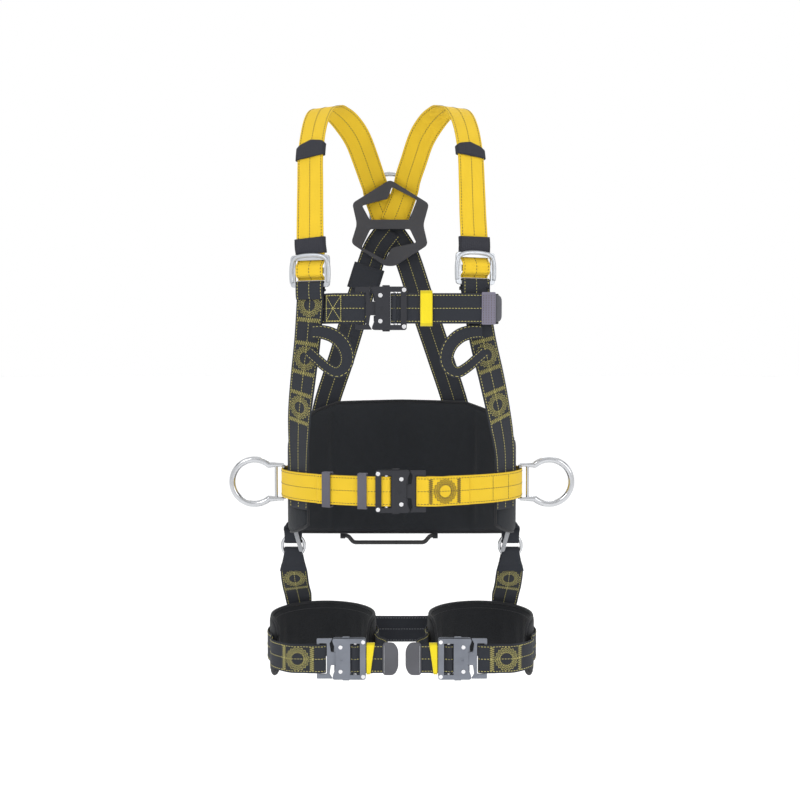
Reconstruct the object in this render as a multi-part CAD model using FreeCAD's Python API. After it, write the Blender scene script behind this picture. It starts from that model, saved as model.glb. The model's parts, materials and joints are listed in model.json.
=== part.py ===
import FreeCAD, Part
import math
import os

# Full-body safety harness with a work-positioning belt, as worn.  Millimetres.
# X runs to the viewer's right, Y away from the viewer (towards the wearer's back), Z up.
# The origin is on the waist's centre plane, at the height where the shoulder webbing rests.

V = FreeCAD.Vector

# --- driving dimensions -------------------------------------------------------------------
WEB = 45.0            # webbing width
WEB_T = 2.0           # webbing thickness
PAD_A = 187.0         # lumbar pad, outer half width
PAD_B = 115.0         # lumbar pad, outer half depth
PAD_T = 12.0          # lumbar pad thickness
BELT_OFF = 7.5        # belt centreline outside the lumbar pad
BELT_Z = -600.0       # belt centre height
LEG_X = 129.0         # leg loop centre from the centre plane
LEG_A = 88.0          # leg pad, outer half width
LEG_B = 78.0          # leg pad, outer half depth
LEG_T = 9.0           # leg pad thickness
LEG_Z = -865.0        # leg strap centre height
LEG_PAD_H = 89.0      # leg pad height
LEG_FRONT = -90.0     # leg buckle plane
CHEST_Z = -326.0      # chest strap centre height
CHEST_FRONT = -134.0  # chest buckle plane
CHEST_MOUTH = -43.0   # chest buckle mouth
BELT_MOUTH = 10.0     # belt buckle mouth
LEG_MOUTH = 106.0     # leg buckle mouth from the centre plane
RING_X = 180.0        # hip ring centre from the centre plane
RING_Y = 25.0
RING_Z = -711.0
RING_R = 18.2         # hip ring wire centreline radius
RING_WIRE = 2.8       # hip ring wire radius

# Quick-release buckle, along the strap from its mouth, across the strap, and in thickness.
BUCKLE_L = 50.0
BUCKLE_HALF = 32.0
PLATE_IN = 3.2
PLATE_OUT = 5.0
PIVOT = (11.0, 19.0)
REAR_RIVET = (46.0, 27.0)
RIVET_R = 2.2
WINDOW = (26.0, 41.0, 24.5)
BAR_U = 33.5
BAR_R = 3.1
ROLL_R = 4.3
TONGUE_BAR = (-26.0, -22.0)

# Dorsal plate, the two layers of webbing that cross behind it, and the D-ring's pin between them.
PLATE_Y = 104.0
PLATE_T = 5.0
DORSAL_PIN = (-20.0, 112.6, -171.0)

# Side attachment rings.
SIDE_PIN_X = 190.3
SIDE_PIN_Y = -10.0
BOW_R = 36.0
BOW_WIRE = 4.0        # dorsal ring
SIDE_WIRE = 5.0

# Gear loop stubs under the lumbar pad.
GEAR_X = -22.0
GEAR_Y = 101.0
GEAR_Z = -708.0
GEAR_R = 3.6
GEAR_BEND = 10.0

# Textile chest loops.
CHEST_LOOP_Y = -127.6


# --- geometry helpers ---------------------------------------------------------------------
def oval(a, b, deg, off=0.0, cx=0.0, cy=0.0):
    """A point on an ellipse moved out by off, with the unit tangent that points towards +X at the back."""
    t = math.radians(deg)
    nx, ny = math.cos(t) / a, math.sin(t) / b
    n = math.hypot(nx, ny)
    nx, ny = nx / n, ny / n
    return (cx + a * math.cos(t) + off * nx, cy + b * math.sin(t) + off * ny), (ny, -nx)


def smooth(rows, steps):
    """Catmull-Rom curve through rows of equal length."""
    out = []
    last = len(rows) - 1
    for i in range(last):
        p0, p1, p2, p3 = rows[max(i - 1, 0)], rows[i], rows[i + 1], rows[min(i + 2, last)]
        for k in range(steps):
            s = k / steps
            out.append([
                0.5 * (2 * b + (c - a) * s + (2 * a - 5 * b + 4 * c - d) * s * s
                       + (3 * b - a - 3 * c + d) * s ** 3)
                for a, b, c, d in zip(p0, p1, p2, p3)
            ])
    out.append(list(rows[-1]))
    return out


def ribbon(rows, thick=WEB_T, grow=0.0):
    """Loft a flat strap through rows of (x, y, z, across x, y, z, width)."""
    rings = []
    last = len(rows) - 1
    for i, row in enumerate(rows):
        here = V(*row[:3])
        along = V(*rows[min(i + 1, last)][:3]) - V(*rows[max(i - 1, 0)][:3])
        along.normalize()
        across = V(*row[3:6])
        across = across - along * across.dot(along)
        across.normalize()
        normal = along.cross(across)
        u = across * (row[6] / 2 + grow)
        v = normal * (thick / 2 + grow)
        rings.append(Part.makePolygon([here - u - v, here + u - v, here + u + v, here - u + v, here - u - v]))
    return Part.makeLoft(rings, True, True)


def sleeve(rows, width, wall, gap=0.9, thick=WEB_T):
    """A flat tube round a strap that follows rows."""
    outer = [list(r[:6]) + [width] for r in rows]
    inner = [list(r[:6]) + [WEB] for r in extended(rows, 2.0)]
    return ribbon(outer, thick + 2 * gap + 2 * wall).cut(ribbon(inner, thick, gap))


def extended(rows, by):
    """The same rows, with both ends run on by a short length."""
    def beyond(end, inner):
        d = V(*end[:3]) - V(*inner[:3])
        d.normalize()
        p = V(*end[:3]) + d * by
        return [p.x, p.y, p.z] + list(end[3:])
    return [beyond(rows[0], rows[1])] + list(rows) + [beyond(rows[-1], rows[-2])]


def prism(points, z0, z1):
    """A polygon in X and Y, extruded from z0 to z1."""
    face = Part.Face(Part.makePolygon([V(x, y, z0) for x, y in points + points[:1]]))
    return face.extrude(V(0, 0, z1 - z0))


def slab(points, y0, y1):
    """A polygon in X and Z, extruded from y0 to y1."""
    face = Part.Face(Part.makePolygon([V(x, y0, z) for x, z in points + points[:1]]))
    return face.extrude(V(0, y1 - y0, 0))


def rounded(points, radius, steps=4):
    """Replace each corner of a polygon by a short arc."""
    out = []
    n = len(points)
    for i, (x, y) in enumerate(points):
        ends = []
        for px, py in (points[i - 1], points[(i + 1) % n]):
            d = math.hypot(px - x, py - y)
            r = min(radius, 0.45 * d) / d
            ends.append((x + (px - x) * r, y + (py - y) * r))
        (ax, ay), (bx, by) = ends
        for k in range(steps + 1):
            s = k / steps
            out.append(((1 - s) ** 2 * ax + 2 * s * (1 - s) * x + s * s * bx,
                        (1 - s) ** 2 * ay + 2 * s * (1 - s) * y + s * s * by))
    return out


def mirrored(shape):
    return shape.mirror(V(0, 0, 0), V(1, 0, 0))


def frame_at(origin, angle):
    """Local X across the front, local Y away from the viewer, turned by angle about Z."""
    m = FreeCAD.Matrix()
    m.rotateZ(math.radians(angle))
    m.move(V(*origin))
    return m


def placed(shape, matrix):
    return shape.transformGeometry(matrix)


def export(name, shapes):
    shape = shapes[0] if len(shapes) == 1 else Part.makeCompound(shapes)
    shape.exportStep("parts/" + name + ".step")


# --- quick-release buckle -----------------------------------------------------------------
# Local X runs from the mouth into the housing, local Y away from the viewer, local Z across the strap.
def buckle_plate(y0, y1):
    outline = [
        (0, -BUCKLE_HALF), (-2, -29), (3.5, -15), (3.5, 15), (-2, 29), (0, BUCKLE_HALF),
        (BUCKLE_L, BUCKLE_HALF), (BUCKLE_L, -BUCKLE_HALF),
    ]
    plate = slab(rounded(outline, 4.0), y0, y1)
    u0, u1, half = WINDOW
    plate = plate.cut(Part.makeBox(u1 - u0, 20, 2 * half, V(u0, -10, -half)))
    for u, w in rivet_places():
        plate = plate.cut(Part.makeCylinder(RIVET_R, 20, V(u, -10, w), V(0, 1, 0)))
    if y0 < 0:
        plate = plate.cut(Part.makeCylinder(2.5, 1.2, V(13, y0 - 0.6, 0), V(0, 1, 0)))
    return plate


def rivet_places():
    return [(u, s * w) for u, w in (PIVOT, REAR_RIVET) for s in (1, -1)]


def buckle_plates():
    return [buckle_plate(-PLATE_OUT, -PLATE_IN), buckle_plate(PLATE_IN, PLATE_OUT)]


def buckle_rivets():
    rivets = []
    for u, w in rivet_places():
        shank = Part.makeCylinder(RIVET_R, 2 * PLATE_OUT, V(u, -PLATE_OUT, w), V(0, 1, 0))
        for y in (-PLATE_OUT - 1.1, PLATE_OUT):
            shank = shank.fuse(Part.makeCylinder(3.3, 1.1, V(u, y, w), V(0, 1, 0)))
        rivets.append(shank.removeSplitter())
    return rivets


def buckle_bar():
    return [Part.makeCylinder(BAR_R, 57, V(BAR_U, 0, -28.5), V(0, 0, 1))]


def buckle_springs():
    """A flat torsion spring round each pivot, on the lever's far side."""
    springs = []
    for s in (1, -1):
        centre = V(PIVOT[0], 2.1, s * PIVOT[1])
        coil = Part.makeCylinder(4.4, 0.8, centre, V(0, 1, 0))
        leg = Part.makeBox(9, 0.8, 1.0, V(PIVOT[0] + 2, 2.1, s * PIVOT[1] + (3.2 if s > 0 else -4.2)))
        springs.append(coil.fuse(leg).cut(Part.makeCylinder(RIVET_R + 0.1, 4, centre - V(0, 1, 0), V(0, 1, 0))))
    return springs


def buckle_lever(side):
    """A catch lever: the hook is on the mouth side of its pivot and the finger tab on the other."""
    outline = [
        (0.9, 10.6), (3.0, 10.6), (8.4, 12.6), (10.5, 13.6), (17.0, 15.2), (25.0, 23.5),
        (25.0, 34.2), (14.0, 34.2), (13.0, 27.0), (4.0, 24.0), (0.9, 19.0),
    ]
    lever = slab(rounded([(u, side * w) for u, w in outline], 1.0), -1.9, 1.9)
    hole = Part.makeCylinder(RIVET_R + 0.05, 10, V(PIVOT[0], -5, side * PIVOT[1]), V(0, 1, 0))
    return lever.cut(hole)


def buckle_tongue():
    outline = [
        (-26.0, -31.5), (-1.5, -31.5), (-6.0, -24.0), (-4.0, -10.2), (3.3, -10.2), (8.0, -11.8), (14.0, -11.8),
        (18.0, -8.0), (18.0, 8.0), (14.0, 11.8), (8.0, 11.8), (3.3, 10.2), (-4.0, 10.2), (-6.0, 24.0),
        (-1.5, 31.5), (-26.0, 31.5),
    ]
    plate = slab(rounded(outline, 1.5), -1.5, 1.5)
    slot = [(TONGUE_BAR[1], -24.0), (-10.5, -24.0), (-10.5, 24.0), (TONGUE_BAR[1], 24.0)]
    return plate.cut(slab(rounded(slot, 1.5), -5, 5))


def roll_path():
    """Strap centreline round the floating bar, from the front layer to the back layer."""
    turn = [math.radians(90 + 22.5 * k) for k in range(9)]
    return ([(42.0, -1.5)] + [(BAR_U + ROLL_R * math.cos(a), -ROLL_R * math.sin(a)) for a in turn]
            + [(42.0, 1.5)])


def loop_path():
    """Strap centreline round the tongue's bar, with the slack that lets the tongue back out."""
    turn = [math.radians(90 - 22.5 * k) for k in range(9)]
    return ([(-52.0, -1.2), (-46.0, -1.2), (-36.5, -3.2)]
            + [(-23.0 + 3.2 * math.cos(a), -3.2 * math.sin(a)) for a in turn]
            + [(-36.5, 3.2), (-46.0, 1.2), (-52.0, 1.2)])


# Where each buckle sits: mouth x, plane y, centre z, and the way it points along X.
BUCKLES = {
    "chest": (CHEST_MOUTH, CHEST_FRONT, CHEST_Z, 1),
    "belt": (BELT_MOUTH, -PAD_B - BELT_OFF, BELT_Z, -1),
    "left_leg": (-LEG_MOUTH, LEG_FRONT, LEG_Z, 1),
    "right_leg": (LEG_MOUTH, LEG_FRONT, LEG_Z, -1),
}


def in_buckle(name, shape):
    x, y, z, way = BUCKLES[name]
    if way < 0:
        shape = shape.copy()
        shape.rotate(V(0, 0, 0), V(0, 1, 0), 180)
    return shape.translated(V(x, y, z))


def buckle_rows(name, path):
    """Buckle-local (u, y) points as strap rows."""
    x, y, z, way = BUCKLES[name]
    return [[x + way * u, y + v, z, 0, 0, 1, WEB] for u, v in path]


def level_rows(path, z):
    """Plan-view points as rows of a strap that stands on edge."""
    return [[x, y, z, 0, 0, 1, WEB] for x, y in path]


# --- shoulder, torso and back webbing -----------------------------------------------------
# Rows hold the centre and the across direction, from the front of each shoulder to the dorsal plate.
LEFT_SHOULDER = [
    (-137.4, -115.2, -228, 0.93, -0.36, 0), (-138, -110, -190, 0.92, -0.39, 0), (-138.5, -99, -140, 0.90, -0.43, 0),
    (-139, -85, -90, 0.89, -0.45, 0.02), (-135, -62, -44, 0.91, -0.40, 0.05), (-128, -34, -13, 0.95, -0.27, 0.08),
    (-118, 0, 0, 0.97, -0.20, 0.08), (-103, 22, -5, 0.93, -0.22, 0.20), (-88, 40, -17, 0.90, -0.14, 0.36),
    (-73, 60, -37, 0.90, 0, 0.40), (-60, 85, -68, 0.92, 0, 0.40), (-51, 105, -92, 0.92, 0, 0.40),
    (-46, 114.5, -105, 0.92, 0, 0.40), (-43.5, 118.9, -117, 0.92, 0, 0.40), (-36, 118.9, -140, 0.92, 0, 0.40),
    (-25.5, 118.9, -164, 0.92, 0, 0.40),
]
RIGHT_SHOULDER = [
    (108.3, -115.2, -226, 0.93, 0.36, 0), (106.5, -110, -188, 0.92, 0.39, 0), (105.5, -99, -138, 0.90, 0.43, 0),
    (104, -85, -88, 0.89, 0.45, -0.02), (98, -62, -42, 0.91, 0.40, -0.05), (88, -34, -12, 0.95, 0.27, -0.08),
    (75, 0, 0, 0.97, 0.20, -0.08), (60, 22, -5, 0.93, 0.22, -0.20), (46, 40, -17, 0.90, 0.14, -0.36),
    (32, 60, -37, 0.90, 0, -0.40), (20, 85, -68, 0.92, 0, -0.40), (11, 104, -92, 0.92, 0, -0.40),
    (8, 112.5, -105, 0.92, 0, -0.40), (5, 116.4, -115, 0.92, 0, -0.40), (-5, 116.4, -143, 0.92, 0, -0.40),
    (-15.5, 116.4, -168, 0.92, 0, -0.40),
]
# From the dorsal plate down to the lumbar pad.
LEFT_BACK = [
    (-20, 116.4, -178, 0.92, 0, -0.40), (-40, 116.4, -204, 0.92, 0, -0.40), (-52, 116.4, -231, 0.93, 0, -0.37),
    (-78, 113, -314, 0.95, 0.05, -0.30), (-103, 105.5, -397, 0.95, 0.15, -0.30), (-129, 94.5, -478, 0.93, 0.32, -0.20),
    (-139, 86, -530, 0.88, 0.45, -0.10), (-142, 83.5, -571, 0.87, 0.48, 0),
]
RIGHT_BACK = [
    (-25, 118.9, -175, 0.92, 0, 0.40), (-3.5, 118.9, -204, 0.92, 0, 0.40), (11, 118.9, -231, 0.93, 0, 0.37),
    (38, 115.5, -314, 0.95, -0.05, 0.30), (66, 111, -397, 0.95, -0.15, 0.30), (93, 106, -480, 0.95, -0.22, 0.20),
    (103, 101.5, -530, 0.93, -0.33, 0.10), (107, 99.5, -571, 0.92, -0.36, 0),
]
# From the adjuster down over the side of the lumbar pad.
LEFT_TORSO = [
    (-137.2, -118.5, -304, 0.93, -0.36, 0), (-142, -113.5, -370, 0.92, -0.40, 0), (-150, -103, -430, 0.88, -0.47, 0),
    (-157.5, -86, -485, 0.82, -0.57, 0), (-161, -68.5, -535, 0.75, -0.66, 0), (-161.7, -61.0, -578, 0.70, -0.714, 0),
    (-161.7, -60.6, -606, 0.70, -0.714, 0), (-161.7, -60.6, -636, 0.70, -0.714, 0),
]
RIGHT_TORSO = [
    (112.2, -118.5, -304, 0.93, 0.36, 0), (121, -114, -370, 0.92, 0.40, 0), (136, -104, -430, 0.88, 0.47, 0),
    (149, -87, -485, 0.82, 0.57, 0), (159, -68.5, -535, 0.75, 0.66, 0), (161.7, -61.0, -578, 0.70, 0.714, 0),
    (161.7, -60.6, -606, 0.70, 0.714, 0), (161.7, -60.6, -636, 0.70, 0.714, 0),
]


def strap_rows(rows, steps=3, width=WEB):
    return [list(r) + [width] for r in smooth(rows, steps)]


def part_of(rows, z_low, z_high, front):
    """The rows of a strap between two heights, on its front or its back."""
    return [r for r in rows if z_low <= r[2] <= z_high and (r[1] < 0) == front]


def local_rows(origin, angle, path):
    """Points (inwards, up) in an adjuster's or ring's side view, as rows across its local X."""
    a = math.radians(angle)
    ox, oy, oz = origin
    return [[ox - v * math.sin(a), oy + v * math.cos(a), oz + w, math.cos(a), math.sin(a), 0, width]
            for v, w, width in path]


# --- shoulder adjusters -------------------------------------------------------------------
ADJUSTERS = {"left": ((-137.2, -118.8, -268.0), -21.0), "right": ((109.5, -118.8, -264.0), 21.0)}


def adjuster_frame():
    outer = rounded([(-32, -26), (32, -26), (32, 22), (-32, 22)], 6.0)
    upper = rounded([(-24.5, 3), (24.5, 3), (24.5, 14), (-24.5, 14)], 2.0)
    lower = rounded([(-24.5, -20), (24.5, -20), (24.5, -6), (-24.5, -6)], 2.0)
    frame = slab(outer, -2, 2).cut(slab(upper, -5, 5)).cut(slab(lower, -5, 5))
    return frame


def adjuster_strap_end():
    """Shoulder strap threaded behind the top bar, over the middle bar and back through."""
    return [(3.5, 26, WEB), (3.5, 14, WEB), (0.0, 9.0, WEB), (-3.5, 4.5, WEB), (-3.6, -6.5, WEB),
            (0.5, -10.3, WEB), (4.0, -12.0, WEB), (4.9, -15.5, WEB)]


def adjuster_torso_loop():
    """Torso strap folded round the bottom bar."""
    turn = [math.radians(22.5 * k) for k in range(9)]
    return ([(-1.6, -44.0, WEB), (-3.9, -36.0, WEB)]
            + [(-3.9 * math.cos(a), -21.2 + 3.9 * math.sin(a), WEB) for a in turn]
            + [(3.9, -30.0, WEB), (0.9, -37.5, WEB)])


# --- dorsal plate -------------------------------------------------------------------------
def dorsal_plate():
    outline = rounded([
        (-20, -95), (-85, -135), (-77, -171), (-87, -203), (-29, -242), (-11, -242), (45, -206), (37, -172),
        (47, -136),
    ], 7.0)
    upper = rounded([(-68, -139), (-24, -127), (-17, -107), (26, -129), (13, -163), (-55, -163)], 3.0)
    lower = rounded([(-54, -179), (14, -179), (25, -202), (-17, -211), (-29, -232), (-69, -210)], 3.0)
    y0, y1 = PLATE_Y, PLATE_Y + PLATE_T
    plate = slab(outline, y0, y1)
    return plate.cut(slab(upper, y0 - 5, y1 + 5)).cut(slab(lower, y0 - 5, y1 + 5))


def rod(points, radius):
    """A round bar through points: cylinders with slightly larger balls at the bends."""
    bar = None
    for start, end in zip(points, points[1:]):
        start, end = V(*start), V(*end)
        piece = Part.makeCylinder(radius, (end - start).Length, start, end - start)
        bar = piece if bar is None else bar.fuse(piece)
    for p in points[1:-1]:
        bar = bar.fuse(Part.makeSphere(radius * 1.01, V(*p)))
    return bar


def bow(half_angle, wire):
    """The round part of a D-ring in X and Z, open towards -X, centred on the origin."""
    ring = Part.makeTorus(BOW_R, wire, V(0, 0, 0), V(0, 0, 1), 0, 360, 2 * half_angle)
    ring.rotate(V(0, 0, 0), V(0, 0, 1), -half_angle)
    ring.rotate(V(0, 0, 0), V(1, 0, 0), 90)
    return ring


def side_ring():
    """A forged side ring lying in X and Z: its pin is at X = 0 and its bow points to +X."""
    centre = 48.0
    turn = math.radians(130)
    end_x, end_z = centre + BOW_R * math.cos(turn), BOW_R * math.sin(turn)
    ring = bow(130, SIDE_WIRE).translated(V(centre, 0, 0))
    for s in (1, -1):
        ring = ring.fuse(Part.makeSphere(SIDE_WIRE * 1.01, V(end_x, 0, s * end_z)))
        ring = ring.fuse(Part.makeCone(2.9, 3.4, 10.0, V(0.7, 0, s * end_z), V(1, 0, 0)))
        ring = ring.fuse(Part.makeCone(3.4, SIDE_WIRE, end_x - 10.7, V(10.7, 0, s * end_z), V(1, 0, 0)))
    for x, radius in ((0.0, 2.0), (13.0, 2.4)):
        ring = ring.fuse(Part.makeCylinder(radius, 2 * end_z, V(x, 0, -end_z), V(0, 0, 1)))
    return ring


def dorsal_ring():
    """The dorsal ring standing up: its pin lies on the origin along X and its arms step out behind it."""
    out, rise, half = 12.8, 53.0, 33.0
    turn = math.acos(half / BOW_R)
    ring = bow(90 + math.degrees(turn), BOW_WIRE)
    ring.rotate(V(0, 0, 0), V(0, 1, 0), -90)
    ring.translate(V(0, out, rise))
    low = rise - BOW_R * math.sin(turn)
    for s in (1, -1):
        ring = ring.fuse(rod([(s * half, 1.3, 0), (s * half, out, 4.0), (s * half, out, low)], BOW_WIRE))
        for y, z in ((out, low), (1.3, 0)):
            ring = ring.fuse(Part.makeSphere(BOW_WIRE * 1.01, V(s * half, y, z)))
    return ring.fuse(Part.makeCylinder(2.4, 2 * half, V(-half, 0, 0), V(1, 0, 0)))


# --- lumbar pad and waist belt ------------------------------------------------------------
def waist_band(off_in, off_out, deg0, deg1, z0, z1, steps):
    degs = [deg0 + (deg1 - deg0) * k / steps for k in range(steps + 1)]
    outer = [oval(PAD_A, PAD_B, d, off_out)[0] for d in degs]
    inner = [oval(PAD_A, PAD_B, d, off_in)[0] for d in reversed(degs)]
    return prism(outer + inner, z0, z1)


def lumbar_pad():
    """The pad's lower edge rises from the back towards the front ends of its wings."""
    band = waist_band(-PAD_T, 0.0, -36.5, 216.5, -710, -470, 60)
    outline = [(-120, -478), (120, -478), (165, -500), (188, -531), (188, -740), (-188, -740), (-188, -531),
               (-165, -500)]
    below = Part.Face(Part.makePolygon([V(-200, y, z) for y, z in
                                        ((-150, -656), (150, -710), (150, -750), (-150, -750), (-150, -656))]))
    return band.common(slab(rounded(outline, 14.0), -200, 200)).cut(below.extrude(V(400, 0, 0)))


def waist_path(deg0, deg1, off, steps):
    return [oval(PAD_A, PAD_B, deg0 + (deg1 - deg0) * k / steps, off)[0] for k in range(steps + 1)]


SIDE_DEG = 185.0


def belt_left():
    """From the buckle's bar round the front to the left side ring; the free tail lies in front."""
    tail = waist_path(228.0, 248.0, BELT_OFF + 3.0, 4)
    roll = buckle_rows("belt", [(54.0, -1.5)] + roll_path() + [(54.0, 1.5)])
    main = waist_path(248.0, SIDE_DEG - 1.5, BELT_OFF, 14)
    return ribbon(level_rows(tail, BELT_Z) + roll + level_rows(main, BELT_Z))


def belt_right():
    loop = buckle_rows("belt", loop_path())
    main = waist_path(292.0, 360 + 180 - SIDE_DEG + 1.5, BELT_OFF, 14)
    return ribbon(loop + level_rows(main, BELT_Z))


def belt_back():
    """Round the back, from one side ring to the other."""
    rows = waist_path(SIDE_DEG - 2.0, 180 - SIDE_DEG + 2.0, BELT_OFF, 40)
    return ribbon(level_rows(rows, BELT_Z))


def chest_left():
    loop = buckle_rows("chest", loop_path())
    main = [(-105, -128.4), (-113, -123.4), (-125, -118.4), (-137, -113.4), (-158, -104.8)]
    return ribbon(loop + level_rows(main, CHEST_Z))


def chest_right():
    tail = [(133.0, -131.6), (100.0, -135.0), (60.0, -135.5)]
    roll = buckle_rows("chest", roll_path())
    main = [(60.0, -132.5), (98.0, -131.4), (120.0, -127.6), (139.0, -120.5), (144.0, -114.5), (141.0, -108.5),
            (134.0, -108.0), (120.0, -113.6), (104.0, -119.4)]
    return ribbon(level_rows(tail, CHEST_Z) + roll + level_rows(main, CHEST_Z))


# --- leg loops ----------------------------------------------------------------------------
def leg_pad():
    degs = [-28.0 + (216.0 + 28.0) * k / 44 for k in range(45)]
    outer = [oval(LEG_A, LEG_B, d, 0.0, -LEG_X)[0] for d in degs]
    inner = [oval(LEG_A, LEG_B, d, -LEG_T, -LEG_X)[0] for d in reversed(degs)]
    low, high = LEG_Z - LEG_PAD_H / 2, LEG_Z + LEG_PAD_H / 2
    band = prism(outer + inner, low, high)
    side = rounded([(-230, low), (-28, low), (-28, high), (-230, high)], 22.0, 6)
    return band.common(slab(side, -120, 120))


def leg_strap():
    loop = buckle_rows("left_leg", loop_path())
    front = [(-178, -86.0), (-196, -74.0), (-207, -58.0)]
    around = [oval(LEG_A, LEG_B, d, 1.8, -LEG_X)[0] for d in range(208, -24, -8)]
    inner = [(-37, -44.0), (-28, -56.0), (-23.5, -68.0), (-24, -79.0), (-29, -86.2), (-37, -88.5)]
    roll = buckle_rows("left_leg", roll_path())
    tail = [(-60.0, -91.5), (-33.0, -91.5), (-12.0, -91.5)]
    path = level_rows(front + around + inner, LEG_Z)
    return ribbon(loop + path + roll[::-1] + level_rows(tail[1:], LEG_Z))


def leg_riser():
    """From the hip ring down to the outside of the leg pad's far wall."""
    (ex, ey), (tx, ty) = oval(LEG_A, LEG_B, 120.0, 4.6, -LEG_X)
    turn = [math.radians(-22.5 * k) for k in range(9)]
    ring = [(-1.3, -33.0, WEB * 0.75), (-5.4, -24.5, 27.0)]
    ring += [(-5.4 * math.cos(a), -11.2 - 5.4 * math.sin(a), 26.0) for a in turn]
    ring += [(5.4, -24.5, 27.0), (1.6, -34.0, WEB * 0.8)]
    rows = local_rows((-RING_X, RING_Y, RING_Z), 0.0, ring)
    path = [(-179.5, 30, -758, 0.99, 0.02, 0, WEB), (-178.5, 46, -782, 0.98, 0.1, 0, WEB),
            (-176.5, 62, -801, 0.95, 0.2, 0, WEB), (ex, ey - 1, -816, tx, ty, 0, WEB),
            (ex, ey, -826, tx, ty, 0, WEB), (ex, ey, -838, tx, ty, 0, WEB)]
    return ribbon(rows + path)


def hip_strap():
    turn = [math.radians(22.5 * k) for k in range(9)]
    ring = [(-4.2 * math.cos(a), 11.2 - 4.2 * math.sin(a), 26.0) for a in turn]
    rows = local_rows((-RING_X, RING_Y, RING_Z), 0.0, [(-1.3, 27.5, 30.0), (-4.0, 22.0, 26.0)] + ring
                      + [(4.0, 22.0, 26.0), (1.2, 26.5, 30.0)])
    path = [(-178.2, 24.8, -677, 0.80, 0.60, 0, 34.0), (-176.8, 25, -669, 0.50, 0.87, 0, 38.0),
            (-176.6, 25, -656, 0.34, 0.94, 0, 40.0)]
    return ribbon(rows + path)


def hip_ring():
    ring = Part.makeTorus(RING_R, RING_WIRE, V(0, 0, 0), V(0, 1, 0))
    return ring.translated(V(-RING_X, RING_Y, RING_Z))


# --- small trim ---------------------------------------------------------------------------
def webbing_loop(x0, x1, y0, y1, z0, z1, wall, corner=1.5):
    """A closed band round a level strap, with its length along X."""
    outer = Part.makeBox(x1 - x0, y1 - y0, z1 - z0, V(x0, y0, z0))
    inner = Part.makeBox(x1 - x0 + 4, y1 - y0 - 2 * wall, z1 - z0 - 2 * wall, V(x0 - 2, y0 + wall, z0 + wall))
    return outer.makeFillet(corner, [e for e in outer.Edges if abs(e.tangentAt(0).x) > 0.9]).cut(inner)


def belt_keeper(x):
    """A rubber keeper on the belt, turned to lie along it."""
    y = -(PAD_B + BELT_OFF) * math.sqrt(1 - (x / (PAD_A + BELT_OFF)) ** 2)
    slope = math.degrees(math.atan2(x * (PAD_B + BELT_OFF) ** 2, -y * (PAD_A + BELT_OFF) ** 2))
    band = webbing_loop(-7, 7, -7.6, 4.4, -27, 27, 1.8)
    return placed(band, frame_at((x, y, BELT_Z), slope))


def flat_loop(path, widths, y, thick):
    """A band of webbing lying flat in X and Z along a curve."""
    points = smooth([list(p) + [w] for p, w in zip(path, widths)], 3)
    rows = []
    for i, (x, z, w) in enumerate(points):
        before, after = points[max(i - 1, 0)], points[min(i + 1, len(points) - 1)]
        rows.append([x, y, z, after[1] - before[1], 0, before[0] - after[0], w])
    return ribbon(rows, thick)


def chest_loop():
    """The left textile attachment loop, hanging on the inner edge of its torso strap."""
    path = [(-135, -360.5), (-118, -361), (-101, -367), (-87, -381), (-81.5, -400), (-87, -415), (-99, -420.5),
            (-113, -413), (-128, -400), (-140, -389)]
    widths = [19, 21, 22, 22, 21, 19, 17, 16, 16, 16]
    return flat_loop(path, widths, CHEST_LOOP_Y, 4.0)


def gear_loop():
    """A moulded bar that hangs from two level stubs, with every corner rounded."""
    points = [V(-84, 0, 0), V(-71.5, 0, 0), V(-61.5, 0, -12), V(61.5, 0, -12), V(71.5, 0, 0), V(84, 0, 0)]
    edges = []
    start = points[0]
    for before, corner, after in zip(points, points[1:], points[2:]):
        arrive, leave = (corner - before).normalize(), (after - corner).normalize()
        half_turn = arrive.getAngle(leave) / 2
        tangent = GEAR_BEND * math.tan(half_turn)
        first, last = corner - arrive * tangent, corner + leave * tangent
        inside = (leave - arrive).normalize()
        middle = corner + inside * (GEAR_BEND / math.cos(half_turn) - GEAR_BEND)
        edges += [Part.LineSegment(start, first).toShape(), Part.Arc(first, middle, last).toShape()]
        start = last
    edges.append(Part.LineSegment(start, points[-1]).toShape())
    profile = Part.Wire(Part.makeCircle(GEAR_R, points[0], V(1, 0, 0)))
    return Part.Wire(edges).makePipeShell([profile], True, False).translated(V(GEAR_X, GEAR_Y, GEAR_Z))


def gear_loop_tabs():
    """Bands of webbing that hold the gear loop's stubs under the pad."""
    tabs = []
    for x in (-84.5, 76.0):
        start = V(GEAR_X + x, GEAR_Y, GEAR_Z)
        band = Part.makeCylinder(GEAR_R + 1.7, 8.5, start, V(1, 0, 0))
        tabs.append(band.cut(Part.makeCylinder(GEAR_R + 0.4, 20, start - V(5, 0, 0), V(1, 0, 0))))
    return tabs


def thigh_strap():
    """The cross strap behind the thighs, sewn to both leg straps."""
    left = [oval(LEG_A, LEG_B, d, 4.2, -LEG_X)[0] for d in (100, 93, 86, 80)]
    right = [(-x, y) for x, y in reversed(left)]
    return ribbon(level_rows(left + [(-60, 77.5), (0, 76), (60, 77.5)] + right, LEG_Z))


def leg_keeper():
    """The elastic keeper behind the left leg buckle."""
    x0 = -LEG_MOUTH + BUCKLE_L + 1.5
    y = LEG_FRONT
    return webbing_loop(x0, x0 + 11, y - 4.4, y + 4.4, LEG_Z - 24.8, LEG_Z + 24.8, 1.5, 1.0)


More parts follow.
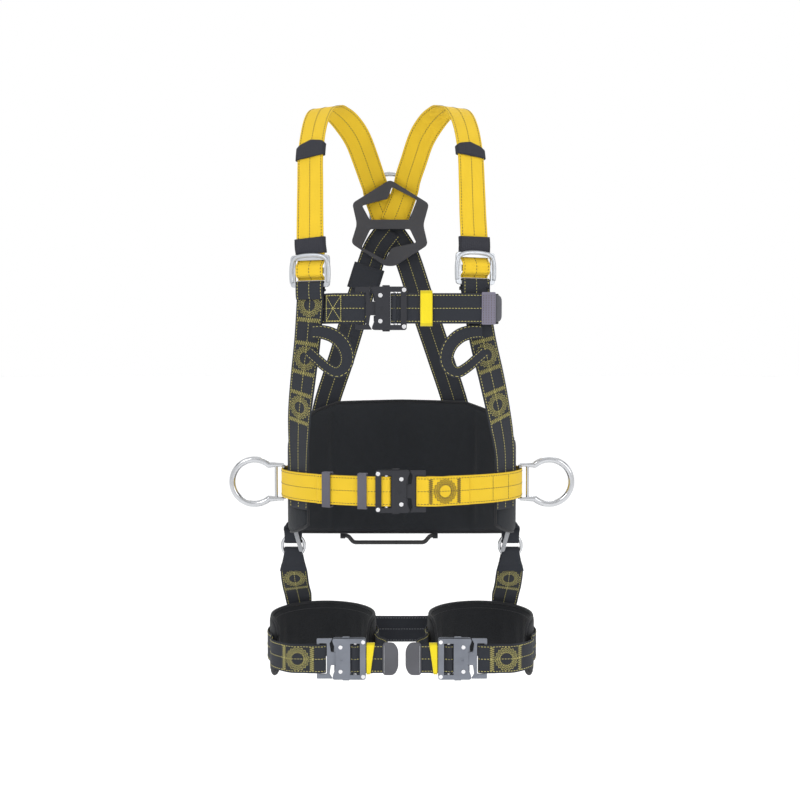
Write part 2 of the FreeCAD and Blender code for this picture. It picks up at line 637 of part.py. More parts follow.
def leg_tip():
    """The moulded cap on the left leg strap's free end."""
    y = LEG_FRONT - 1.5
    outline = rounded([(-30, -25.5), (-11, -25.5), (-5.5, -14), (-5.5, 14), (-11, 25.5), (-30, 25.5)], 5.0)
    cap = slab(outline, y - 3.0, y + 3.0).translated(V(0, 0, LEG_Z))
    return cap.cut(Part.makeBox(30, 2.6, 46, V(-41.6, y - 1.3, LEG_Z - 23)))


def main():
    os.makedirs("parts", exist_ok=True)

    left_shoulder, right_shoulder = strap_rows(LEFT_SHOULDER), strap_rows(RIGHT_SHOULDER)
    left_torso, right_torso = strap_rows(LEFT_TORSO), strap_rows(RIGHT_TORSO)
    left_back, right_back = strap_rows(LEFT_BACK), strap_rows(RIGHT_BACK)

    # Shoulder straps and what they thread through.
    torsos = []
    patches = []
    keepers = []
    for side, shoulder, torso in (("left", left_shoulder, left_torso), ("right", right_shoulder, right_torso)):
        origin, angle = ADJUSTERS[side]
        end = local_rows(origin, angle, adjuster_strap_end())
        export("shoulder_strap_" + side, [ribbon(end[::-1] + shoulder)])
        export("adjuster_" + side, [placed(adjuster_frame(), frame_at(origin, angle))])
        loop = local_rows(origin, angle, adjuster_torso_loop())
        torsos.append(ribbon(loop + torso[1:]))
        patches.append(sleeve(part_of(shoulder, -100, -64, True), 51, 1.6))
        keepers.append(sleeve(part_of(end[1::-1] + shoulder, -243, -213, True)[1:], 51, 1.6))
    export("shoulder_patches", patches)
    export("shoulder_keepers", keepers)
    export("torso_straps", torsos)
    export("back_straps", [ribbon(left_back), ribbon(right_back)])
    export("back_strap_sleeve", [sleeve(part_of(left_back, -292, -240, False), 58, 1.0)])

    # Dorsal attachment.
    export("dorsal_plate", [dorsal_plate()])
    export("dorsal_d_ring", [dorsal_ring().translated(V(*DORSAL_PIN))])

    # Waist.
    export("lumbar_pad", [lumbar_pad()])
    export("belt_strap_left", [belt_left()])
    export("belt_strap_right", [belt_right()])
    export("belt_strap_back", [belt_back()])
    ring = side_ring().translated(V(SIDE_PIN_X, SIDE_PIN_Y, BELT_Z))
    export("side_d_ring_left", [mirrored(ring)])
    export("side_d_ring_right", [ring])
    export("belt_keeper_outer", [belt_keeper(-113.0)])
    export("belt_keeper_inner", [belt_keeper(-59.0)])
    export("gear_loop", [gear_loop()])
    export("gear_loop_tabs", gear_loop_tabs())

    # Chest.
    export("chest_strap_left", [chest_left()])
    export("chest_strap_right", [chest_right()])
    y, z = BUCKLES["chest"][1:3]
    export("chest_keeper", [webbing_loop(27, 45, y - 5.4, y + 5.4, z - 26.5, z + 26.5, 1.6)])
    export("chest_loop_left", [chest_loop()])
    export("chest_loop_right", [mirrored(chest_loop()).translated(V(-15.4, 0, 0))])
    export("chest_end_tab", [Part.makeBox(20, 2.0, 48, V(118, y - 2.4, z - 24))])

    # Hips and legs.
    export("hip_straps", [hip_strap(), mirrored(hip_strap())])
    export("hip_ring_left", [hip_ring()])
    export("hip_ring_right", [mirrored(hip_ring())])
    export("leg_risers", [leg_riser(), mirrored(leg_riser())])
    export("leg_pads", [leg_pad(), mirrored(leg_pad())])
    export("leg_straps", [leg_strap(), mirrored(leg_strap())])
    export("leg_strap_tips", [leg_tip(), mirrored(leg_tip())])
    export("thigh_strap", [thigh_strap()])
    export("left_leg_keeper", [leg_keeper()])
    export("right_leg_keeper", [mirrored(leg_keeper())])

    for name in BUCKLES:
        export(name + "_tongue", [in_buckle(name, buckle_tongue())])
        export(name + "_lever_upper", [in_buckle(name, buckle_lever(1 if BUCKLES[name][3] > 0 else -1))])
        export(name + "_lever_lower", [in_buckle(name, buckle_lever(-1 if BUCKLES[name][3] > 0 else 1))])
        export(name + "_buckle_plates", [in_buckle(name, s) for s in buckle_plates()])
    for group, names in (("torso", ("chest", "belt")), ("leg", ("left_leg", "right_leg"))):
        export(group + "_buckle_bars", [in_buckle(n, s) for n in names for s in buckle_bar()])
        export(group + "_buckle_rivets", [in_buckle(n, s) for n in names for s in buckle_rivets()])
        export(group + "_buckle_springs", [in_buckle(n, s) for n in names for s in buckle_springs()])


main()
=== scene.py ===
import json
import math

import bmesh
import bpy
import mathutils
import numpy as np
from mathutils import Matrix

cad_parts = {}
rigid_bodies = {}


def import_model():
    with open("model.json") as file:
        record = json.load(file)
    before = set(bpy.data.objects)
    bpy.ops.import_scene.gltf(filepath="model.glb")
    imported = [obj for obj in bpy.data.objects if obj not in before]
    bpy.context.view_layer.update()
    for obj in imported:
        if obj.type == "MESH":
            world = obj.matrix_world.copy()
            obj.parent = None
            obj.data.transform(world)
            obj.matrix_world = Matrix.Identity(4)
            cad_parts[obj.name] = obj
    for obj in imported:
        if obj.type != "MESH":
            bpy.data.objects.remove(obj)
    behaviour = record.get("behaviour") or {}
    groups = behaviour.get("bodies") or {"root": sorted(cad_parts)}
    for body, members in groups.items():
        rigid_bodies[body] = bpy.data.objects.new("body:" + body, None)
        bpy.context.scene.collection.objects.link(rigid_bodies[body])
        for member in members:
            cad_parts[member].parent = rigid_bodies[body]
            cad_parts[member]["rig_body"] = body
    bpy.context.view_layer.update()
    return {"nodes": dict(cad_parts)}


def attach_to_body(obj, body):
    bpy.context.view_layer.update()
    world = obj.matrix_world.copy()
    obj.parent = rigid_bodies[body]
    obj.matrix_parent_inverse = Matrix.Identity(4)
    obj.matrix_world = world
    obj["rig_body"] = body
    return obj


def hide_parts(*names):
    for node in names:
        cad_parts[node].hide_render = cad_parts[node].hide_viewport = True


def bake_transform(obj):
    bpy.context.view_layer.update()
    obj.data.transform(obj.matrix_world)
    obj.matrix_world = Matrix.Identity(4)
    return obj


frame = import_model()

# Full-body safety harness.  Routes and sizes are in millimetres in the CAD model's frame and turn into
# metres where a mesh is made.  X runs to the viewer's right, Y to the wearer's back, Z up.
MM = 0.001
WEB = 45.0            # webbing width
WEB_T = 2.0           # webbing thickness
PAD_A, PAD_B, PAD_T = 187.0, 115.0, 12.0          # lumbar pad: outer half width, half depth, thickness
BELT_OFF, BELT_Z = 7.5, -600.0                    # belt centreline outside the pad, and its height
LEG_X, LEG_A, LEG_B, LEG_T = 129.0, 88.0, 78.0, 9.0
LEG_Z, LEG_PAD_H, LEG_FRONT = -865.0, 89.0, -90.0
CHEST_Z = -326.0
RING = (180.0, 25.0, -711.0)                     # hip ring centre, right side
SIDE_DEG = 185.0                                  # where the belt meets the left side ring
BUCKLE_L = 50.0                                   # a buckle's length from its mouth
BAR_U, ROLL_R, ROLL_U = 33.5, 4.3, 6.3            # floating bar in a buckle, and the strap's roll round it
LOOP_U = 10.5                                     # how far a strap's loop reaches into its tongue's slot
BUCKLES = {                                       # mouth x, plane y, centre z, way along X
    "chest": (-43.0, -134.0, CHEST_Z, 1),
    "belt": (10.0, -PAD_B - BELT_OFF, BELT_Z, -1),
    "left_leg": (-106.0, LEG_FRONT, LEG_Z, 1),
    "right_leg": (106.0, LEG_FRONT, LEG_Z, -1),
}
ADJUSTERS = {"left": ((-137.2, -118.8, -268.0), -21.0), "right": ((109.5, -118.8, -264.0), 21.0)}
EDGE = 19.2           # tracer lines' distance from a strap's centreline
TOP = "harness_webbing"
LEGS = "leg_assembly"


# --- materials ----------------------------------------------------------------------------
class Nodes:
    """A small helper that builds one material's node tree."""

    def __init__(self, name):
        self.material = bpy.data.materials.new(name)
        self.material.use_nodes = True
        self.tree = self.material.node_tree
        self.shader = self.tree.nodes["Principled BSDF"]

    def add(self, kind, **settings):
        node = self.tree.nodes.new("ShaderNode" + kind)
        for key, value in settings.items():
            setattr(node, key, value)
        return node

    def link(self, source, target):
        if isinstance(source, bpy.types.NodeSocket):
            self.tree.links.new(source, target)
        else:
            target.default_value = source

    def math(self, operation, a, b=0.0):
        node = self.add("Math", operation=operation)
        self.link(a, node.inputs[0])
        self.link(b, node.inputs[1])
        return node.outputs[0]

    def mix(self, factor, a, b, blend="MIX"):
        node = self.add("Mix", data_type="RGBA", blend_type=blend)
        for index, value in ((0, factor), (6, a), (7, b)):
            self.link(value, node.inputs[index])
        return node.outputs[2]

    def remap(self, value, low, high, to_low, to_high):
        node = self.add("MapRange")
        for index, v in enumerate((value, low, high, to_low, to_high)):
            self.link(v, node.inputs[index])
        return node.outputs[0]

    def noise(self, scale, detail=3.0, vector=None):
        node = self.add("TexNoise")
        node.inputs["Scale"].default_value = scale
        node.inputs["Detail"].default_value = detail
        self.link(vector or self.place(), node.inputs["Vector"])
        return node.outputs[0]

    def place(self):
        return self.add("TexCoord").outputs["Object"]

    def bump(self, height, distance, strength):
        node = self.add("Bump")
        node.inputs["Distance"].default_value = distance
        node.inputs["Strength"].default_value = strength
        self.link(height, node.inputs["Height"])
        self.link(node.outputs[0], self.shader.inputs["Normal"])

    def set(self, **values):
        for key, value in values.items():
            self.link(value, self.shader.inputs[key.replace("_", " ")])
        return self


def rgb(colour, factor=1.0):
    return tuple(min(c * factor, 1.0) for c in colour) + (1.0,)


def webbing_material(name, colour, rib, sheen):
    """Woven polyester: ribs along the strap, picks across it, a little soiling, and darker colour along the
    edges.
    """
    n = Nodes(name)
    at = n.add("Attribute", attribute_name="weave").outputs["Vector"]
    split = n.add("SeparateXYZ")
    n.link(at, split.inputs[0])
    across, along = split.outputs[0], split.outputs[1]
    ribs = n.math("SINE", n.math("MULTIPLY", across, 2 * math.pi / (rib * MM)))
    shifted = n.math("ADD", along, n.math("MULTIPLY", ribs, 0.25 * MM))
    picks = n.math("SINE", n.math("MULTIPLY", shifted, 2 * math.pi / (1.1 * MM)))
    weave = n.math("ADD", n.math("MULTIPLY", ribs, 0.5), n.math("MULTIPLY", picks, 0.5))
    shade = n.remap(weave, -1.0, 1.0, 0.0, 1.0)
    fabric = n.mix(shade, rgb(colour, 0.80), rgb(colour, 1.08))
    cloudy = n.remap(n.noise(26.0, 4.0), 0.3, 0.7, 0.0, 1.0)
    fabric = n.mix(n.math("MULTIPLY", cloudy, 0.22), fabric, rgb(colour, 0.72))
    edge = n.remap(n.math("ABSOLUTE", across), 0.0212, 0.0224, 0.0, 0.45)
    fabric = n.mix(edge, fabric, rgb(colour, 0.45))
    fibres = n.noise(1400.0, 2.0)
    n.set(Base_Color=fabric, Roughness=n.remap(fibres, 0.3, 0.7, 0.62, 0.86), Sheen_Weight=sheen,
          Sheen_Roughness=0.5, Specular_IOR_Level=0.3)
    n.bump(n.math("ADD", weave, n.math("MULTIPLY", fibres, 0.8)), 0.00022, 0.8)
    return n.material


def thread_material(name, colour):
    n = Nodes(name)
    tint = n.mix(n.remap(n.noise(900.0), 0.3, 0.7, 0.0, 1.0), rgb(colour, 0.75), rgb(colour, 1.15))
    n.set(Base_Color=tint, Roughness=0.6, Sheen_Weight=0.2)
    return n.material


def pad_material(name, colour, cell=520.0):
    """Knitted mesh over foam: small open cells with a soft sheen."""
    n = Nodes(name)
    cells = n.add("TexVoronoi", feature="DISTANCE_TO_EDGE")
    cells.inputs["Scale"].default_value = cell
    n.link(n.place(), cells.inputs["Vector"])
    open_cell = n.remap(cells.outputs["Distance"], 0.02, 0.3, 1.0, 0.0)
    cloth = n.mix(open_cell, rgb(colour, 0.72), rgb(colour, 1.25))
    worn = n.remap(n.noise(14.0, 4.0), 0.35, 0.75, 0.0, 0.5)
    cloth = n.mix(worn, cloth, rgb(colour, 1.35))
    n.set(Base_Color=cloth, Roughness=0.85, Sheen_Weight=0.08, Sheen_Roughness=0.55, Specular_IOR_Level=0.25)
    n.bump(open_cell, 0.0004, 0.7)
    return n.material


def metal_material(name, colour, roughness, scratches=0.3, metallic=1.0, grain=(40.0, 40.0, 900.0)):
    """Plated or coated steel with faint handling scratches and uneven polish."""
    n = Nodes(name)
    stretched = n.add("Mapping")
    n.link(n.place(), stretched.inputs["Vector"])
    stretched.inputs["Scale"].default_value = grain
    lines = n.noise(1.0, 5.0, stretched.outputs[0])
    smudge = n.remap(n.noise(35.0, 4.0), 0.3, 0.7, 0.0, 1.0)
    rough = n.math("ADD", n.remap(smudge, 0.0, 1.0, roughness * 0.8, roughness * 1.3),
                   n.math("MULTIPLY", n.remap(lines, 0.45, 0.6, 0.0, 1.0), 0.12 * scratches))
    n.set(Base_Color=n.mix(n.math("MULTIPLY", smudge, 0.5), rgb(colour), rgb(colour, 0.82)),
          Metallic=metallic, Roughness=rough)
    n.bump(lines, 0.00003, scratches)
    return n.material


def plastic_material(name, colour, roughness, grain=1500.0, depth=0.00006):
    n = Nodes(name)
    speckle = n.noise(grain, 2.0)
    tone = n.remap(n.noise(20.0, 3.0), 0.3, 0.7, 0.0, 1.0)
    n.set(Base_Color=n.mix(tone, rgb(colour, 0.88), rgb(colour, 1.12)),
          Roughness=n.remap(speckle, 0.3, 0.7, roughness - 0.07, roughness + 0.09), Specular_IOR_Level=0.5)
    n.bump(speckle, depth, 0.6)
    return n.material


YELLOW = webbing_material("yellow_webbing_look", (0.84, 0.56, 0.022), 1.5, 0.05)
BLACK = webbing_material("black_webbing_look", (0.021, 0.024, 0.032), 1.5, 0.04)
ELASTIC = webbing_material("black_elastic_look", (0.026, 0.027, 0.036), 3.2, 0.04)
BRIGHT_ELASTIC = webbing_material("yellow_elastic_look", (0.90, 0.72, 0.01), 1.0, 0.2)
PAD = pad_material("pad_fabric_look", (0.0125, 0.0145, 0.018))
LINING = pad_material("leg_pad_fabric_look", (0.009, 0.010, 0.012), 300.0)
PIPING = webbing_material("piping_look", (0.016, 0.017, 0.02), 1.0, 0.1)
DARK_THREAD = thread_material("dark_thread_look", (0.060, 0.036, 0.008))
GOLD_THREAD = thread_material("gold_thread_look", (0.56, 0.50, 0.14))
# grey thread, and also the colour of the grey strips of painted highlight on the hip straps
GREY_THREAD_AND_HIGHLIGHT = thread_material("grey_thread_and_highlight_look", (0.30, 0.31, 0.33))
CHROME = metal_material("bright_steel_look", (0.56, 0.57, 0.59), 0.18, 0.25)
SATIN = metal_material("satin_alloy_look", (0.50, 0.52, 0.55), 0.36, 0.5)
GREY_STEEL = metal_material("grey_steel_look", (0.20, 0.215, 0.25), 0.36, 0.7, 0.85)
PIN_STEEL = metal_material("plain_steel_look", (0.78, 0.78, 0.80), 0.22, 0.4)
BLACK_STEEL = metal_material("black_coated_steel_look", (0.020, 0.021, 0.027), 0.34, 0.5, 0.3)
PLASTIC = plastic_material("black_plastic_look", (0.028, 0.029, 0.036), 0.42)
CAP = plastic_material("grey_plastic_look", (0.075, 0.076, 0.088), 0.55)
RUBBER = plastic_material("grey_rubber_look", (0.085, 0.083, 0.105), 0.62, 900.0, 0.00012)
GEAR = plastic_material("gear_loop_look", (0.014, 0.014, 0.016), 0.45, 1200.0, 0.00008)
TAB = plastic_material("end_tab_look", (0.165, 0.155, 0.205), 0.8, 500.0, 0.0002)
PAD_THREAD = thread_material("pad_thread_look", (0.03, 0.03, 0.036))


# --- curves and bands ---------------------------------------------------------------------
def oval(a, b, deg, off=0.0, cx=0.0):
    t = math.radians(deg)
    nx, ny = math.cos(t) / a, math.sin(t) / b
    n = math.hypot(nx, ny)
    return cx + a * math.cos(t) + off * nx / n, b * math.sin(t) + off * ny / n


def smooth(rows, steps):
    """Catmull-Rom curve through rows of equal length."""
    rows = np.array(rows, float)
    ends = np.vstack([rows[:1], rows, rows[-1:]])
    out = []
    for i in range(len(rows) - 1):
        p0, p1, p2, p3 = ends[i:i + 4]
        for k in range(steps):
            s = k / steps
            out.append(0.5 * (2 * p1 + (p2 - p0) * s + (2 * p0 - 5 * p1 + 4 * p2 - p3) * s * s
                              + (3 * p1 - p0 - 3 * p2 + p3) * s ** 3))
    return np.array(out + [rows[-1]])


def unit(v):
    return v / np.maximum(np.linalg.norm(v, axis=-1, keepdims=True), 1e-9)


class Band:
    """A strap's centreline with its across and outward directions, width and running length."""

    def __init__(self, rows, steps=3):
        rows = smooth(rows, steps)
        self.p, self.w = rows[:, :3], rows[:, 6]
        along = unit(np.gradient(self.p, axis=0))
        self.across = unit(rows[:, 3:6] - along * np.sum(along * rows[:, 3:6], axis=1, keepdims=True))
        self.normal = np.cross(along, self.across)
        self.s = np.concatenate([[0.0], np.cumsum(np.linalg.norm(np.diff(self.p, axis=0), axis=1))])

    def at(self, s, a, lift):
        """Points at running length s, a across and lift off the centreline."""
        s, a, lift = np.broadcast_arrays(np.asarray(s, float), np.asarray(a, float), np.asarray(lift, float))
        def mix(table):
            return np.stack([np.interp(s, self.s, table[:, k]) for k in range(3)], axis=-1)
        return mix(self.p) + mix(self.across) * a[..., None] + mix(self.normal) * lift[..., None]

    def cut(self, s0, s1):
        """The stretch of the band between two running lengths."""
        kept = (self.s >= s0) & (self.s <= s1)
        part = Band.__new__(Band)
        for name in ("p", "w", "across", "normal", "s"):
            setattr(part, name, getattr(self, name)[kept])
        return part

    def where(self, axis, value, after=0.0):
        """The running length at which a coordinate first passes a value, at or beyond a length."""
        start = int(np.searchsorted(self.s, after))
        d = self.p[start:, axis] - value
        hits = np.nonzero(d[:-1] * d[1:] <= 0)[0]
        if len(hits) == 0:
            return float(self.s[start + int(np.argmin(np.abs(d)))])
        i = start + hits[0]
        here, there = self.p[i, axis], self.p[i + 1, axis]
        return float(self.s[i] + (value - here) / (there - here or 1.0) * (self.s[i + 1] - self.s[i]))


def level(path, z, width=WEB):
    """Plan-view points as rows of a strap that stands on edge."""
    return [(x, y, z, 0.0, 0.0, 1.0, width) for x, y in path]


def local_rows(origin, deg, path):
    """Points (inwards, up, width) in a side view, as rows across the view's own X."""
    c, s = math.cos(math.radians(deg)), math.sin(math.radians(deg))
    x, y, z = origin
    return [(x - v * s, y + v * c, z + w, c, s, 0.0, width) for v, w, width in path]


def buckle_rows(name, path):
    x, y, z, way = BUCKLES[name]
    return level([(x + way * u, y + v) for u, v in path], z)


def half_turn(radius, first, steps=8):
    """Unit circle points over half a turn from a starting angle, scaled."""
    angles = [math.radians(first + 180.0 * k / steps) for k in range(steps + 1)]
    return [(radius * math.cos(a), radius * math.sin(a)) for a in angles]


def roll_path():
    """A strap round a buckle's floating bar, from the front layer to the back layer."""
    turn = [(BAR_U + ROLL_U / ROLL_R * x, -y) for x, y in half_turn(ROLL_R, 90)]
    return [(42.0, -1.5)] + turn + [(42.0, 1.5)]


def loop_path():
    """A strap round a tongue's bar, from the front layer to the back layer."""
    return ([(-46.0, -1.6), (-36.5, -3.0)] + [(-23.0 + LOOP_U / 3.2 * x, y) for x, y in half_turn(3.2, -90)]
            + [(-36.5, 3.0), (-46.0, 1.2), (-52.0, 1.2)])


# --- meshes -------------------------------------------------------------------------------
def new_object(name, verts, faces, material, uvs=None):
    """An object from millimetre vertices; uvs are each vertex's weave coordinates in metres."""
    mesh = bpy.data.meshes.new(name)
    mesh.from_pydata((np.asarray(verts) * MM).tolist(), [], [list(f) for f in faces])
    if uvs is not None:
        weave = mesh.attributes.new("weave", "FLOAT_VECTOR", "POINT")
        weave.data.foreach_set("vector", np.asarray(uvs, np.float32).ravel())
    mesh.materials.append(material)
    mesh.shade_smooth()
    obj = bpy.data.objects.new(name, mesh)
    bpy.context.scene.collection.objects.link(obj)
    return obj


def section(thick, columns):
    """A flat band's cross-section with round edges: (share of half width, extra across, lift)."""
    r = thick / 2
    flat = [(2.0 * k / columns - 1.0, 0.0) for k in range(columns + 1)]
    edge = [math.radians(90 - 45 * k) for k in (1, 2, 3)]
    top = [(b, 0.0, r) for b, _ in flat]
    right = [(1.0, r * math.cos(a), r * math.sin(a)) for a in edge]
    under = [(b, 0.0, -r) for b, _ in reversed(flat)]
    left = [(-1.0, -r * math.cos(a), -r * math.sin(a)) for a in edge]
    return np.array(top + right + under + left)


def tube_faces(rings, sides, caps=True):
    faces = []
    for i in range(rings - 1):
        for k in range(sides):
            a, b = i * sides + k, i * sides + (k + 1) % sides
            faces.append((a, b, b + sides, a + sides))
    if caps:
        faces.append(tuple(range(sides))[::-1])
        faces.append(tuple(range((rings - 1) * sides, rings * sides)))
    return faces


def shell_faces(rings, around):
    """The faces of a tube with a wall: an outer skin, an inner skin and the rims between them."""
    faces = tube_faces(rings, around, False)
    faces += [tuple(i + rings * around for i in f) for f in faces]
    for ring in (0, rings - 1):
        for k in range(around):
            a, b = ring * around + k, ring * around + (k + 1) % around
            faces.append((a, b, b + rings * around, a + rings * around))
    return faces


def outward(obj):
    """Point every face of a closed mesh outwards."""
    bm = bmesh.new()
    bm.from_mesh(obj.data)
    bmesh.ops.recalc_face_normals(bm, faces=bm.faces)
    bm.to_mesh(obj.data)
    bm.free()
    return obj


def band_mesh(name, band, material, thick=WEB_T - 0.1, columns=8):
    """A closed strap along a band."""
    shape = section(thick, columns)
    half = band.w[:, None] / 2 - thick / 2
    across = shape[None, :, 0] * half + shape[None, :, 1]
    along = np.repeat(band.s[:, None], len(shape), axis=1)
    lift = np.repeat(shape[None, :, 2], len(band.s), axis=0)
    verts = band.at(along, across, lift).reshape(-1, 3)
    uvs = np.stack([across * MM, along * MM, lift * MM], axis=-1).reshape(-1, 3)
    return outward(new_object(name, verts, tube_faces(len(band.s), len(shape)), material, uvs))


def threads(name, segments, material, radius=0.42, sides=5):
    """Stitches: each segment is a start, an end and the direction off the cloth; all go in one mesh."""
    seg = np.array(segments, float)
    start, end, up = seg[:, 0], seg[:, 1], seg[:, 2]
    along = unit(end - start)
    up = unit(up - along * np.sum(up * along, axis=1, keepdims=True))
    side = np.cross(along, up)
    rings = ((0.0, 0.45, -0.5), (0.2, 1.0, 0.25), (0.8, 1.0, 0.25), (1.0, 0.45, -0.5))
    parts = []
    for share, size, raised in rings:
        centre = start + (end - start) * share + up * radius * raised
        for k in range(sides):
            a = 2 * math.pi * k / sides
            parts.append(centre + radius * size * (math.cos(a) * side + math.sin(a) * up))
    verts = np.stack(parts, axis=1).reshape(-1, 3)
    one = tube_faces(len(rings), sides)
    count = len(rings) * sides
    faces = [tuple(i + j * count for i in f) for j in range(len(seg)) for f in one]
    return new_object(name, verts, faces, material)


def dashes(band, a, s0, s1, sides=(1, -1), pitch=4.6, dash=3.2, lift=WEB_T / 2 - 0.05):
    """A running stitch or woven tracer along a band, on one face or both."""
    out = []
    starts = np.arange(s0 + 1.0, s1 - dash - 1.0, pitch)
    for side in sides:
        first, last = band.at(starts, a, side * lift), band.at(starts + dash, a, side * lift)
        off = unit(band.at(starts + dash / 2, a, side * 2.0) - band.at(starts + dash / 2, a, 0.0))
        out += list(zip(first, last, off))
    return out


def zigzag(band, points, side, lift=WEB_T / 2 - 0.05):
    """Stitches that join (along, across) points one after another on a band's face."""
    pts = np.array(points)
    on = band.at(pts[:, 0], pts[:, 1], side * lift)
    off = unit(band.at(pts[:, 0], pts[:, 1], side * 2.0) - band.at(pts[:, 0], pts[:, 1], 0.0))
    return [(on[i], on[i + 1], off[i]) for i in range(len(pts) - 1)]


def ring_stitch(band, s, side, lift=WEB_T / 2 - 0.05, radii=(9.2, 12.4, 15.6, 18.8), count=19):
    """The round lock stitch of fall-arrest webbing: three rings of zigzag."""
    out = []
    for inner, outer in zip(radii, radii[1:]):
        turn = [math.pi * k / count for k in range(2 * count + 1)]
        pts = [(s + (outer if k % 2 else inner) * math.cos(t), (outer if k % 2 else inner) * math.sin(t))
               for k, t in enumerate(turn)]
        out += zigzag(band, pts, side, lift)
    return out


def bar_tack(band, s, side, lift=WEB_T / 2 - 0.05, half=18.5, height=7.0, count=24):
    """A dense zigzag right across a strap."""
    pts = [(s + (height / 2 if k % 2 else -height / 2), -half + 2 * half * k / count)
           for k in range(count + 1)]
    return zigzag(band, pts, side, lift)


def lock_stitch(band, s, side, lift=WEB_T / 2 - 0.05, spread=22.6, tacks=(1, -1)):
    """A ring stitch with its bar tacks."""
    out = ring_stitch(band, s, side, lift)
    for way in tacks:
        out += bar_tack(band, s + way * spread, side, lift)
    return out


def attach(child, parent):
    child.parent = parent
    return child


def piece(obj, body, slot, *nodes):
    """Put a finished piece on its body and in its CAD nodes' place; the slot is not used."""
    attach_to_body(obj, body)
    if nodes:
        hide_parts(*nodes)
    return obj


def spanning(objects, node):
    """Bake each object's placement into its mesh and hide the CAD node that a strap and its stitching stand
    for.
    """
    for obj in objects:
        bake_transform(obj)
    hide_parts(node)


def stitched(obj, name, segments, material, radius=0.42):
    return attach(threads(name, segments, material, radius), obj)


def joined(name, objects):
    """One object from several, so that it can stand for a CAD node with several solids."""
    bpy.ops.object.select_all(action="DESELECT")
    for o in objects:
        o.select_set(True)
    bpy.context.view_layer.objects.active = objects[0]
    bpy.ops.object.join()
    objects[0].name = name
    return objects[0]


def sleeve_mesh(name, rows, material, width, gap=0.9, wall=1.6, dome=0.0, around=40):
    """A soft tube round a strap; dome raises its upper edge in the middle."""
    band = Band(rows, 4)
    half_w, half_t = width / 2, WEB_T / 2 + gap + wall
    verts, uvs = [], []
    for shell in (0.0, wall):
        w, t = half_w - shell, half_t - shell
        for i, s in enumerate(band.s):
            share = i / (len(band.s) - 1)
            for k in range(around):
                a = 2 * math.pi * k / around
                cx = math.copysign(abs(math.cos(a)) ** 0.22, math.cos(a)) * w
                cz = math.copysign(abs(math.sin(a)) ** 0.5, math.sin(a)) * t
                run = s + dome * share * (1 - (cx / w) ** 2)
                beyond = max(run - band.s[-1], 0.0) * unit(band.p[-1] - band.p[-2])
                verts.append(band.at(run, cx, cz) + beyond)
                uvs.append((cx * MM, run * MM, 0.0))
    return outward(new_object(name, np.array(verts), shell_faces(len(band.s), around), material, uvs))


def tube_mesh(name, path, radius, material, sides=10, closed=False, body_up=(0.0, 0.0, 1.0)):
    """A round tube along points."""
    p = np.array(path, float)
    ahead = np.roll(p, -1, axis=0) - np.roll(p, 1, axis=0) if closed else np.gradient(p, axis=0)
    along = unit(ahead)
    side = unit(np.cross(along, np.array(body_up)) + 1e-6)
    up = np.cross(side, along)
    rings = [p + radius * (math.cos(2 * math.pi * k / sides) * side + math.sin(2 * math.pi * k / sides) * up)
             for k in range(sides)]
    verts = np.stack(rings, axis=1).reshape(-1, 3)
    faces = tube_faces(len(p), sides, not closed)
    if closed:
        last = (len(p) - 1) * sides
        faces += [(last + k, last + (k + 1) % sides, (k + 1) % sides, k) for k in range(sides)]
    run = np.concatenate([[0.0], np.cumsum(np.linalg.norm(np.diff(p, axis=0), axis=1))])
    uvs = np.stack([np.tile(np.arange(sides) * 2 * math.pi * radius / sides, len(p)) * MM,
                    np.repeat(run, sides) * MM, np.zeros(len(verts))], axis=-1)
    return outward(new_object(name, verts, faces, material, uvs))


# --- straps -------------------------------------------------------------------------------
# Rows hold the centre and the across direction, from the front of each shoulder to the dorsal plate.
LEFT_SHOULDER = [
    (-137.4, -115.2, -228, 0.93, -0.36, 0), (-138, -110, -190, 0.92, -0.39, 0),
    (-138.5, -99, -140, 0.90, -0.43, 0), (-139, -85, -90, 0.89, -0.45, 0.02),
    (-135, -62, -44, 0.91, -0.40, 0.05), (-128, -34, -13, 0.95, -0.27, 0.08),
    (-118, 0, 0, 0.97, -0.20, 0.08), (-103, 22, -5, 0.93, -0.22, 0.20),
    (-88, 40, -17, 0.90, -0.14, 0.36), (-73, 60, -37, 0.90, 0, 0.40), (-60, 85, -68, 0.92, 0, 0.40),
    (-51, 105, -92, 0.92, 0, 0.40), (-46, 114.5, -105, 0.92, 0, 0.40),
    (-43.5, 118.9, -117, 0.92, 0, 0.40), (-36, 118.9, -140, 0.92, 0, 0.40),
    (-25.5, 118.9, -164, 0.92, 0, 0.40),
]
RIGHT_SHOULDER = [
    (108.3, -115.2, -226, 0.93, 0.36, 0), (106.5, -110, -188, 0.92, 0.39, 0),
    (105.5, -99, -138, 0.90, 0.43, 0), (104, -85, -88, 0.89, 0.45, -0.02),
    (98, -62, -42, 0.91, 0.40, -0.05), (88, -34, -12, 0.95, 0.27, -0.08), (75, 0, 0, 0.97, 0.20, -0.08),
    (60, 22, -5, 0.93, 0.22, -0.20), (46, 40, -17, 0.90, 0.14, -0.36), (32, 60, -37, 0.90, 0, -0.40),
    (20, 85, -68, 0.92, 0, -0.40), (11, 104, -92, 0.92, 0, -0.40), (8, 112.5, -105, 0.92, 0, -0.40),
    (5, 116.4, -115, 0.92, 0, -0.40), (-5, 116.4, -143, 0.92, 0, -0.40),
    (-15.5, 116.4, -168, 0.92, 0, -0.40),
]
